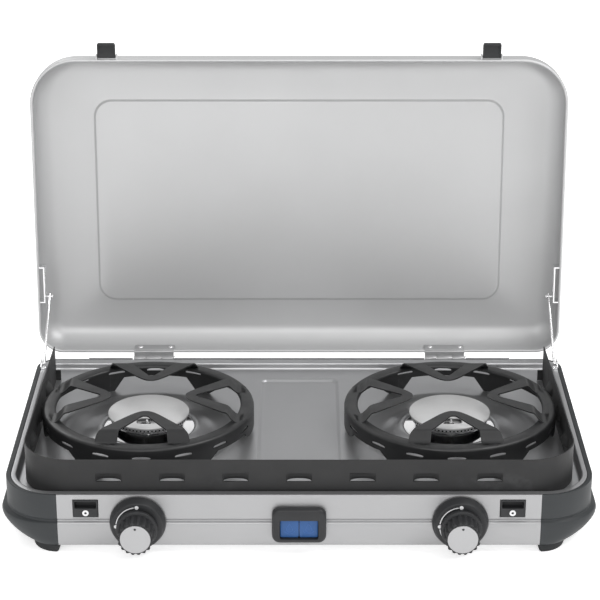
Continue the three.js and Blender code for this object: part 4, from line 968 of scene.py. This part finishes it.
def support_arm():
    """One raised V arm that points from the ring (at +X) towards the middle, as its middle surface."""
    half = SUPPORT_SHEET / 2
    riser = [
        (93.0, 24.0, 93.0, 37.5, RING_Z), (88.6, 23.8, 88.6, 43.8, RING_Z),
        (86.0, 23.6, 86.0, 44.0, RING_Z + 0.15),
        (84.4, 23.4, 84.4, 44.0, RING_Z + 0.8), (83.2, 23.2, 83.2, 43.8, RING_Z + 1.9),
        (80.6, 22.8, 80.6, 43.1, ARM_Z - 4.2), (78.8, 22.5, 78.8, 42.1, ARM_Z - 2.0),
        (77.6, 22.3, 77.6, 40.9, ARM_Z - 0.8), (76.2, 22.0, 76.2, 39.6, ARM_Z - 0.15),
    ]
    outer = rounded([(75.0, 39.0), (73.5, 38.7), (41, 11), (35.8, 3.6), (35.8, 0)], [0, 3, 9, 5, 0], 6)
    inner = rounded([(75.0, 21.0), (52, 6), (46.2, 2.6), (46.2, 0)], [0, 4, 3, 0], 6)
    count = 26
    outer, inner = sampled(outer, count), sampled(inner, count)
    stations = [((ox, oy), (ix, iy), z - half) for ix, iy, ox, oy, z in riser]
    stations += [(o, i, ARM_Z - half) for o, i in zip(outer, inner)]
    back = [((o[0], -o[1]), (i[0], -i[1]), z) for o, i, z in reversed(stations[:-1])]
    shell = Shell()
    rows = []
    for o, i, z in stations + back:
        rows.append(shell.add([(*o, z), ((2 * o[0] + i[0]) / 3, (2 * o[1] + i[1]) / 3, z),
                               ((o[0] + 2 * i[0]) / 3, (o[1] + 2 * i[1]) / 3, z), (*i, z)]))
    for a, b in zip(rows, rows[1:]):
        shell.bridge(a, b, closed=False)
    return shell


def add_pot_supports():
    arm = support_arm()
    for name, side in SIDES:
        local = Shell()
        support_ring(local)
        for k in range(4):
            turn = Matrix.Rotation(math.radians(90 * k), 3, "Z")
            local.join(arm, lambda p, turn=turn: turn @ Vector(p))
        shell = Shell()
        shell.join(local, lambda p, side=side: (p[0] + side * HOB_X, p[1] + HOB_Y, p[2]))
        build(f"pot_rest_{name}", shell, f"pot_support_{name}", [ENAMEL],
              [f"pot_support_{name}"],
              solid=SUPPORT_SHEET, sharp=45, bevel=0.35)


# ------------------------------------------------------------------ burners

CAP_R, CAP_Z, RING_TOP, CUP_R, CUP_TOP, CUP_FLOOR = 39.0, 73.0, 70.7, 33.5, 66.0, 50.0
ELECTRODE_AHEAD = 20.0
WINDOW_HALF, WINDOW_FRONT, WINDOW_BACK, WINDOW_R = 10.0, -28.0, -14.0, 4.0
PORTS = 64
DECK_Z = (68.0, 69.0)


def pierced_disc(shell, outer, inner):
    """A disc with a hole, from matching (outline, z) levels of its rim and of the hole's wall."""
    for levels in (outer, inner):
        shell.loft([at_z(outline, z) for outline, z in levels], caps=False)
    for end in (0, -1):
        fill_between(shell, [outer[end][0], inner[end][0]], outer[end][1])


def burner_cap():
    shell = Shell()
    levels = [(0.9, RING_TOP + 0.3), (0.2, RING_TOP + 0.5), (0, RING_TOP + 1.0), (0, CAP_Z - 0.9),
              (0.25, CAP_Z - 0.3), (0.9, CAP_Z)]
    outer, inner = [], []
    for inset, z in levels:
        outer.append((circle(CAP_R - inset, 120), z))
        grow = inset * 0.6
        inner.append((rounded_rect(WINDOW_HALF + grow, WINDOW_FRONT - grow, WINDOW_BACK + grow,
                                   WINDOW_R + grow, WINDOW_R + grow, 6), z))
    pierced_disc(shell, outer, inner)
    return shell


def flame_ring():
    """The ported band under the cap, each port a shallow closed pocket whose walls and back are painted
    near-black shade, with the deck inside it.
    """
    shell = Shell()
    radius, low, high = 36.9, CUP_TOP + 0.5, RING_TOP
    middle, hole = 68.6, 0.95
    for k in range(PORTS):
        start, end = (360 * (k + s) / PORTS for s in (0, 1))
        centre = (start + end) / 2
        corners = [(start, low), (centre, low), (end, low), (end, middle), (end, high), (centre, high),
                   (start, high), (start, middle)]
        outer, rim, back = [], [], []
        for j, (angle, z) in enumerate(corners):
            t = math.radians(angle)
            outer.append((radius * math.cos(t), radius * math.sin(t), z))
            about = math.radians(225 + 45 * j)
            t = math.radians(centre + math.degrees(hole * math.cos(about) / radius))
            height = middle + hole * math.sin(about)
            rim.append((radius * math.cos(t), radius * math.sin(t), height))
            back.append(((radius - 2.2) * math.cos(t), (radius - 2.2) * math.sin(t), height))
        a, b, c = shell.add(outer), shell.add(rim), shell.add(back)
        shell.bridge(a, b)
        # port walls and back in the near-black finish: painted shade in the holes
        shell.bridge(b, c, finish=1)
        shell.face(c, 1)
    foot = [(radius, low), (radius - 0.4, low - 0.2), (CUP_R + 0.3, low - 0.2)]
    shell.lathe(foot, PORTS, caps=False)
    rim = circle(CUP_R - 2, 48)
    hole_edge = circle(5.2, 48, -1.8, -ELECTRODE_AHEAD)
    pierced_disc(shell, [(rim, z) for z in DECK_Z], [(hole_edge, z) for z in DECK_Z])
    return shell


def burner_cup():
    shell = Shell()
    outside = [(10, CUP_FLOOR), (CUP_R - 3.2, CUP_FLOOR), (CUP_R - 1, CUP_FLOOR + 0.8),
               (CUP_R, CUP_FLOOR + 3), (CUP_R, 63.6),
               (CUP_R + 0.8, 64.4), (CUP_R + 0.9, CUP_TOP - 0.4), (CUP_R + 0.4, CUP_TOP)]
    inside = [(CUP_R - 1.2, CUP_TOP), (CUP_R - 1.4, CUP_TOP - 0.5), (CUP_R - 1.4, CUP_FLOOR + 3.4),
              (CUP_R - 4, CUP_FLOOR + 1.4), (10, CUP_FLOOR + 1.4)]
    shell.lathe(rounded(outside, 0.5, 3) + rounded(inside, 0.5, 3), 96, looped=True)
    return shell


def spark_electrode():
    """A glazed insulator with ribs, and a bent wire that reaches towards the ports."""
    shell = Shell()
    body = [(2.2, 46), (2.6, 46.4), (2.6, 56), (3.4, 56.6), (3.4, 58), (2.6, 58.6), (2.6, 67), (2.1, 68.6),
            (1.5, 69.2)]
    place = lambda a, b, h: (a, b - ELECTRODE_AHEAD, h)
    shell.lathe(rounded(body, 0.4, 3), 24, place)
    wire = rounded([(0, -ELECTRODE_AHEAD, 68), (0, -ELECTRODE_AHEAD, 74.2),
                    (0, -ELECTRODE_AHEAD - 4.6, 74.6)], 2, 6)
    shell.tube(wire, 0.75, 12, finish=1)
    shell.lathe([(1.6, 68.8), (1.8, 69.1), (1.8, 70.4), (1.3, 70.9)], 6, place, finish=1)
    return shell


def add_burners():
    for name, side in SIDES:
        move = lambda p, side=side: (p[0] + side * HOB_X, p[1] + HOB_Y, p[2])
        parts = (
            ("burner_cap", "burner_lid", burner_cap(), [BURNER_STEEL], "burner_steel", 30),
            ("flame_ring", "port_ring", flame_ring(), [CAST_ALUMINIUM, PAINTED_SHADE_BORE], "cast_aluminium", 40),
            ("burner_cup", "gas_cup", burner_cup(), [CHROME_CUP], "burner_steel", 40),
            ("electrode", "spark_plug", spark_electrode(), [CERAMIC, BRIGHT_STEEL], "ceramic", 40),
        )
        for node, title, local, finishes, slot, sharp in parts:
            shell = Shell()
            shell.join(local, move)
            build(f"{title}_{name}", shell, "casing", finishes, [f"{node}_{name}"], sharp=sharp)


# ------------------------------------------------------------------ controls

DIAL_BACK_Y, DIAL_FRONT_Y, DIAL_BACK_R, DIAL_FRONT_R = -153.8, -162.5, 25.5, 23.0
KNOB_BACK_Y, KNOB_FLANGE_R, KNOB_R, KNOB_FRONT_Y, FLUTES = -166.2, 18.6, 15.6, -186.4, 18
MARK_R, MARK_WIDTH, MARK_DEPTH, DOT_R = 19.1, 0.85, 0.3, 1.8


def facing(x, y):
    """Takes turned points to a knob's axis, with height towards the user."""
    return lambda a, b, h: (x + a, y - h, CONTROL_Z + b)


def dial_plate(side):
    shell = Shell()
    depth = DIAL_BACK_Y - DIAL_FRONT_Y
    profile = rounded(
        [(6.2, 0), (DIAL_BACK_R, 0), (DIAL_BACK_R, 1.6), (DIAL_FRONT_R, depth), (6.2, depth)],
        [0, 0.4, 0.8, 1.1, 0], 4,
    )
    shell.lathe(profile, 96, facing(side * CONTROL_X, DIAL_BACK_Y), looped=True)
    front = DIAL_FRONT_Y - 0.12
    levels = (front, front + MARK_DEPTH)

    def mark(start, end, steps):
        inner = arc(0, 0, MARK_R - MARK_WIDTH / 2, start, end, steps)
        outer = arc(0, 0, MARK_R + MARK_WIDTH / 2, start, end, steps)
        ring = outer + inner[::-1]
        placed = [(side * CONTROL_X + x, CONTROL_Z + z) for x, z in ring]
        shell.loft([[(x, y, z) for x, z in placed] for y in levels], finish=1)

    mark(98, 172, 24)
    mark(188, 222, 12)
    for angle in (90, 180):
        x, z = MARK_R * math.cos(math.radians(angle)), MARK_R * math.sin(math.radians(angle))
        dot = circle(DOT_R, 20, side * CONTROL_X + x, CONTROL_Z + z)
        shell.loft([[(cx, y, cz) for cx, cz in dot] for y in levels], finish=1)
    return shell


def knob_grip(side):
    """A fluted grip on a round flange, with a seat for its metal cap."""
    shell = Shell()
    place = facing(side * CONTROL_X, KNOB_BACK_Y)
    flange = rounded([(4, 0), (KNOB_FLANGE_R, 0), (KNOB_FLANGE_R, 3.2), (KNOB_R, 4.2), (KNOB_R - 2, 4.2)],
                     [0, 0.5, 0.8, 0.5, 0], 3)
    shell.lathe([*flange, (4, 4.2)], 72, place, looped=True)
    length = KNOB_BACK_Y - KNOB_FRONT_Y
    levels = [(0, 3.4), (0, length - 1.2), (0.35, length - 0.4), (1.1, length)]
    steps = FLUTES * 10
    rings = []
    for inset, height in levels:
        ring = []
        for k in range(steps):
            t = 2 * math.pi * k / steps
            wave = math.cos(FLUTES * t)
            radius = KNOB_R + 0.1 - inset + 0.75 * math.copysign(abs(wave) ** 0.6,
                                                                 wave) * (1 - 0.35 * inset)
            ring.append(place(radius * math.cos(t), radius * math.sin(t), height))
        rings.append(ring)
    seat = [[place(r * math.cos(2 * math.pi * k / steps), r * math.sin(2 * math.pi * k / steps),
                   h) for k in range(steps)]
            for r, h in ((14.2, length), (14.1, length - 1.1), (4, length - 1.1), (4, 3.4))]
    shell.loft(rings + seat, looped=True)
    return shell


def knob_disc(side):
    """The spun metal disc in the knob's face, slightly dished, with its index dot near the top."""
    shell = Shell()
    place = facing(side * CONTROL_X, KNOB_FRONT_Y + 0.9)
    profile = [(13.8, 0.0), (13.8, 1.0), (13.6, 1.4), (13.1, 1.6), (12.6, 1.5), (10, 1.4), (6, 1.33),
               (2, 1.3), (0.3, 1.3)]
    shell.lathe(profile, 96, place)
    dot = facing(side * CONTROL_X, KNOB_FRONT_Y + 0.9 - 1.3)
    shell.lathe([(1.15, -0.3), (1.15, 0.14), (0.95, 0.2)], 20, lambda a, b, h: dot(a, b + 10.2, h),
                finish=1)
    return shell


def add_controls():
    for name, side in SIDES:
        build(f"dial_{name}", dial_plate(side), "casing", [CONTROL_PLASTIC, MARK_WHITE],
              [f"dial_plate_{name}"])
        build(f"grip_{name}", knob_grip(side), f"knob_{name}", [CONTROL_PLASTIC],
              [f"knob_{name}"], sharp=50)
        build(f"grip_disc_{name}", knob_disc(side), f"knob_{name}", [KNOB_METAL, CONTROL_PLASTIC],
              [f"knob_cap_{name}"])


# ------------------------------------------------------------------ igniter

BEZEL_HALF, BEZEL_LOW, BEZEL_HIGH, BEZEL_FRONT_Y = 24.5, 14.0, 48.2, -159.5
BUTTON_HALF, BUTTON_LOW, BUTTON_HIGH, BUTTON_FRONT_Y, BUTTON_BACK_Y = 8.5, 18.6, 36.6, -156.5, -146.0


def upright(half, low, high, radius, y, x=0.0, steps=8):
    """A rounded rectangle that stands in a plane of constant Y."""
    ring = rounded_rect(half, low, high, radius, radius, steps)
    return [(x + a, y, b) for a, b in ring]


def add_igniter():
    shell = Shell()
    back = -HALF_DEPTH - 1.3
    front = BEZEL_FRONT_Y
    outer = [(0, 7, back), (0, 7, front + 3.0), (0.35, 6.8, front + 1.6), (1.2, 6.2, front + 0.5),
             (2.6, 5.2, front)]
    rings = [upright(BEZEL_HALF - i, BEZEL_LOW + i, BEZEL_HIGH - i, r, y) for i, r, y in outer]
    hole = [(0.5, 2.2, front), (0.15, 1.9, front + 0.15), (0, 1.8, front + 0.6), (0, 1.8, -HALF_DEPTH + 9),
            (-1.6, 2.4, -HALF_DEPTH + 9)]
    rings += [upright(17.4 + g, 18.2 - g, 37 + g, r, y) for g, r, y in hole]
    rings.append(upright(19, 16.6, 38.6, 2.4, back))
    shell.loft(rings, looped=True)
    build("igniter_frame", shell, "casing", [CONTROL_PLASTIC], ["igniter_bezel"])
    for name, side in SIDES:
        centre = side * (BUTTON_HALF + 0.2)
        key = Shell()
        levels = [(0, BUTTON_BACK_Y), (0, BUTTON_FRONT_Y + 1.0), (0.25, BUTTON_FRONT_Y + 0.3),
                  (0.9, BUTTON_FRONT_Y)]
        key.loft([upright(BUTTON_HALF - i, BUTTON_LOW + i, BUTTON_HIGH - i, 1.6, y, centre, 4) for i,
                  y in levels])
        drop = [(0, 5.2), (2.2, 1.6), (2.6, -0.6), (1.5, -2.6), (0, -3.2), (-1.5, -2.6), (-2.6, -0.6),
                (-2.2, 1.6), (0, 5.2)]
        line = [(centre + x, BUTTON_FRONT_Y + 0.05, 27.4 + z) for x, z in spline(drop, 5)]
        key.tube(line, 0.32, 8, finish=1)
        base = arc(0, 1, 5.6, 215, 325, 14)
        key.tube([(centre + x, BUTTON_FRONT_Y + 0.05, 27.4 + z) for x, z in base], 0.32, 8, finish=1)
        build(f"blue_key_{name}", key, f"igniter_button_{name}", [BUTTON_BLUE, ICON_BLUE],
              [f"igniter_button_{name}"])


# ------------------------------------------------------------------ latch catches


def latch_catch(side):
    """A pocket with a raised rim; its lower half is a boss with a ring round a small hole, drawn as a flat
    near-black disc of painted shade.
    """
    shell = Shell()
    x = side * CATCH_X
    front, deep = -HALF_DEPTH - 0.9, -HALF_DEPTH + 5.6
    half = CATCH_HALF - 0.3
    low, high = CATCH_LOW + 0.3, CATCH_HIGH - 0.3
    middle, tall = (low + high) / 2, (high - low) / 2
    rings = [upright(half - i, middle - tall + i, middle + tall - i, 0.9, y, x, 3)
             for i, y in ((0, deep + 1), (0, front + 0.6), (0.2, front + 0.15), (0.5, front))]
    pocket = [(1.3, front), (1.6, front + 0.3), (1.6, deep), (3.0, deep)]
    rings += [upright(half - i, 46.4 + (i - 1.6), high - i, 0.6, y, x, 3) for i, y in pocket]
    shell.loft(rings)
    shell.block((x - half + 0.8, front + 0.25, low + 0.9), (x + half - 0.8, front + 2.5, 45.4), 0.25)
    place = lambda a, b, h: (x + a, front + 0.2 - h, 42.0 + b)
    shell.lathe(rounded([(1.15, 0), (2.9, 0), (2.9, 0.7), (1.15, 0.7)], 0.25, 3, closed=True), 36, place,
                looped=True, finish=1)
    # the hole is a thin disc in the near-black finish: painted shade, not an opening
    shell.lathe([(1.2, 0), (1.2, 0.15)], 20, place, finish=2)
    return shell


def lid_latch(side):
    """A bevelled plastic clip on a pivot bar at the lid's free edge."""
    shell = Shell()
    along, up, half = 317.2, 3.4, LATCH_HALF
    x = side * LATCH_X
    section = rounded(
        [(-0.5, up - 1.9), (0.6, up + 1.2), (-1.4, up + 2.0), (-11.6, up + 1.9), (-13.6, up + 0.2),
         (-13.6, up - 5.0), (-11.2, up - 5.0), (-11.2, up - 1.4), (-3, up - 1.4)],
        [0.6, 0.6, 0.8, 1.4, 0.8, 0.5, 0.4, 0.8, 0.4], 3, closed=True,
    )
    shell.strip([(y - along, z) for y, z in section], x - half + 0.6, x + half - 0.6, 0.4)
    for end in (-1, 1):
        cheek = rounded([(1.6, up - 1.9), (1.6, up + 1.9), (-10.2, up + 1.7), (-12.4, up - 0.4),
                         (-12.4, up - 3.6), (-4, up - 2.4)], 0.9, 3, closed=True)
        low, high = sorted((x + end * (half - 1.8), x + end * half))
        shell.strip([(y - along, z) for y, z in cheek], low, high, 0.3)
    shell.pin((x - half, -along, up), (x + half, -along, up), 1.9, 20)
    return shell


def add_latches():
    for name, side in SIDES:
        build(f"catch_{name}", latch_catch(side), "casing", [CONTROL_PLASTIC, MARK_WHITE, PAINTED_SHADE_BORE],
              [f"latch_catch_{name}"])
        build(f"clip_{name}", lid_latch(side), f"latch_{name}", [CONTROL_PLASTIC],
              [f"latch_{name}"], at=LID)


# ------------------------------------------------------------------ lid

STEP_HALF, STEP_REAR, STEP_FRONT, STEP_R, STEP_SLOPE, STEP_HEIGHT = 210.0, 51.4, 266.7, 19.0, 3.3, 2.1


def lid_ring(inset, z):
    return at_z(rounded_rect(LID_HALF - inset, inset - LID_FRONT, -LID_REAR - inset,
                             max(47 - inset, 6), max(25 - inset, 4), 20), z)


def step_ring(inset, z):
    radius = STEP_R - inset
    return at_z(rounded_rect(STEP_HALF - inset, inset - STEP_FRONT, -STEP_REAR - inset, radius, radius, 20),
                z)


def lid_side(inset, top):
    """Rings over the wall, its large fillet and the stepped panel."""
    radius = LID_FILLET - inset
    bend = [math.radians(6 * k) for k in range(16)]
    rings = [lid_ring(inset + radius * (1 - math.cos(t)), top - radius * (1 - math.sin(t))) for t in bend]
    for k in range(9):
        t = k / 8
        rings.append(step_ring(STEP_SLOPE * t, top - STEP_HEIGHT * t * t * (3 - 2 * t)))
    return rings


def add_lid():
    shell = Shell()
    bead = []
    for k in range(11):
        t = math.radians(180 + 27 * k)
        bead.append(lid_ring(1.5 + 1.5 * math.cos(t), LID_RIM + 1.5 + 1.5 * math.sin(t)))
    inside = lid_side(LID_SHEET, LID_TOP - LID_SHEET)
    shell.loft([*inside[::-1], lid_ring(LID_SHEET, LID_RIM + 4.2), *bead[::-1], *lid_side(0, LID_TOP)])
    for _, side in SIDES:
        for end in (-1, 1):
            x = side * LATCH_X + end * (LATCH_HALF + 1.1)
            shell.block((x - 0.8, -318.8, LID_RIM), (x + 0.8, -LID_FRONT + 0.6, LID_RIM + 5), 0.25)
    build("lid_pressing", shell, "lid", [LID_SILVER], ["lid_shell"], at=LID, sharp=50)


# ------------------------------------------------------------------ hinges and struts


def hinge_leaf_lid(side):
    shell = Shell()
    x = side * HINGE_X
    wall = -LID_REAR - LID_SHEET
    leaf = [(0, 1.5), (0.0, 2.7), (wall - 0.3, 2.7), (wall - 0.3, 21), (wall - 1.5, 21), (wall - 1.5, 1.5)]
    shell.strip(rounded(leaf, [0.2, 0.2, 0.9, 0.4, 0.4, 1.2], 3, closed=True), x - HINGE_HALF,
                x + HINGE_HALF, 0.3)
    shell.pin((x - 8, 0, 0), (x + 8, 0, 0), 3.0, 28)
    for dx in (-14.5, 16.7):
        head = rivet_head(2.7, 1.3)
        shell.join(head, lambda p, dx=dx: (x + dx + p[0], wall - 1.5 - p[2], 13.5 + p[1]), 1)
    return shell


def hinge_leaf_base(side):
    shell = Shell()
    back = HALF_DEPTH - LID_Y + 0.3
    leaf = [(back, -18), (back + 1.2, -18), (back + 1.2, -2.6), (0, -2.8), (0, -1.2), (back, -1.2)]
    x = side * HINGE_X
    section = rounded(leaf, [0.4, 0.4, 0.8, 0.3, 0.3, 0.8], 3, closed=True)
    for low, high in ((-HINGE_HALF, -8.3), (8.3, HINGE_HALF)):
        shell.strip([(y + LID_Y, z + LID_Z) for y, z in section], x + low, x + high, 0.25)
        shell.pin((x + low, LID_Y, LID_Z), (x + high, LID_Y, LID_Z), 3.0, 28)
    plate = [(back, -18), (back + 1.2, -18), (back + 1.2, -4), (back, -4)]
    shell.strip([(y + LID_Y, z + LID_Z) for y, z in plate], x - 8.4, x + 8.4, 0.02)
    for dx in (-12.5, 12.5):
        head = rivet_head(2.4, 1.1)
        shell.join(head, lambda p, dx=dx: (x + dx + p[0], LID_Y + back + 1.2 + p[2], LID_Z - 12 + p[1]), 1)
    return shell


def hinge_pin(side):
    shell = Shell()
    x = side * HINGE_X
    shell.pin((x - HINGE_HALF - 0.3, LID_Y, LID_Z), (x + HINGE_HALF + 1, LID_Y, LID_Z), 1.5, 20)
    shell.pin((x + HINGE_HALF + 0.3, LID_Y, LID_Z), (x + HINGE_HALF + 1.6, LID_Y, LID_Z), 2.6, 24, 0.4)
    return shell


PIN_ALONG, PIN_UP, STRUT_X, STRUT_FOOT, WIRE_R = 64.0, 12.0, 258.3, (262.0, 134.5, 63.0), 1.3


def lid_point(along, up):
    """Casing (y, z) of a place in the open lid."""
    turn = math.radians(LID_OPEN)
    return (LID_Y - along * math.cos(turn) + up * math.sin(turn),
            LID_Z + along * math.sin(turn) + up * math.cos(turn))


def wire_strut():
    shell = Shell()
    top_y, top_z = lid_point(PIN_ALONG, PIN_UP)
    foot, top = Vector(STRUT_FOOT), Vector((STRUT_X, top_y, top_z))
    over = (top - foot).normalized() * 3.2
    shell.pin(foot - over * 0.3, top + over, WIRE_R, 20, 0.4)
    shell.pin((STRUT_X - 3.5, top_y, top_z), (STRUT_X + 6, top_y, top_z), WIRE_R, 20, 0.3)
    shell.pin((STRUT_X - 3.6, top_y, top_z), (STRUT_X - 2.4, top_y, top_z), 2.3, 20, 0.4)
    shell.pin((STRUT_FOOT[0] - 1.6, *STRUT_FOOT[1:]), (STRUT_FOOT[0] + 3.4, *STRUT_FOOT[1:]), WIRE_R, 20,
              0.3)
    return shell


def add_hinges_and_struts():
    wire = wire_strut()
    for name, side in SIDES:
        build(f"hinge_wing_{name}", hinge_leaf_lid(side), "lid", [HINGE_GREY, BRIGHT_STEEL],
              [f"hinge_lid_leaf_{name}"], at=LID)
        build(f"hinge_plate_{name}", hinge_leaf_base(side), "casing", [HINGE_GREY, BRIGHT_STEEL],
              [f"hinge_base_leaf_{name}"])
        build(f"hinge_bar_{name}", hinge_pin(side), "casing", [BRIGHT_STEEL],
              [f"hinge_pin_{name}"])
        shell = Shell()
        shell.join(wire, mirrored(side))
        build(f"stay_wire_{name}", shell, f"strut_{name}", [BRIGHT_STEEL],
              [f"strut_{name}"])


# ------------------------------------------------------------------ stage


FOCAL_LENGTH, SENSOR_WIDTH = 123.0, 36.0
CAMERA_AT, CAMERA_TILT = (0.00083, -1.8108, 0.9126), 68
SKY, FLOOR_GLOW, FLOOR_HALF = 0.62, 0.55, 12.0


def area_light(name, place, target, size, watts, color=(1, 1, 1)):
    data = bpy.data.lights.new(name, "AREA")
    data.shape = "RECTANGLE"
    data.size, data.size_y = size
    data.energy = watts
    data.color = color
    light = bpy.data.objects.new(name, data)
    SCENE.collection.objects.link(light)
    light.location = place
    light.rotation_euler = (Vector(target) - Vector(place)).to_track_quat("-Z", "Y").to_euler()
    return light


def add_floor():
    mesh = bpy.data.meshes.new("floor")
    half = FLOOR_HALF
    corners = [(-half, -half, 0), (half, -half, 0), (half, half, 0), (-half, half, 0)]
    mesh.from_pydata(corners, [], [(0, 1, 2, 3)])
    floor = bpy.data.objects.new("floor", mesh)
    SCENE.collection.objects.link(floor)
    made = Finish("pale_floor", (0.92, 0.92, 0.92), specular=0.2)
    made.mottle(3, 0.005)
    made.shader.inputs["Emission Color"].default_value = (1, 1, 1, 1)
    made.shader.inputs["Emission Strength"].default_value = FLOOR_GLOW
    mesh.materials.append(made.done(0.7))


def add_camera():
    data = bpy.data.cameras.new("camera")
    data.lens, data.sensor_width = FOCAL_LENGTH, SENSOR_WIDTH
    camera = bpy.data.objects.new("camera", data)
    SCENE.collection.objects.link(camera)
    camera.location = CAMERA_AT
    camera.rotation_euler = (math.radians(CAMERA_TILT), 0, 0)
    SCENE.camera = camera


def add_light():
    world = bpy.data.worlds.new("studio")
    world.use_nodes = True
    background = world.node_tree.nodes["Background"]
    background.inputs["Color"].default_value = (1, 1, 1, 1)
    background.inputs["Strength"].default_value = SKY
    SCENE.world = world
    area_light("key", (1.6, -0.6, 2.4), (0, 0, 0.1), (1.6, 1.6), 38)
    area_light("front", (-0.4, -3.2, 1.9), (0, 0, 0.15), (2.6, 1.4), 42)
    area_light("back", (-1.2, 1.8, 1.8), (0, 0.1, 0.1), (1.6, 1.2), 16)
    SCENE.view_settings.view_transform = "Standard"
    SCENE.view_settings.look = "None"


dress_cad_nodes()
add_camera()
add_light()
add_floor()
add_casing()
add_feet()
add_tray()
add_windshield()
add_pot_supports()
add_burners()
add_controls()
add_igniter()
add_latches()
add_lid()
add_hinges_and_struts()
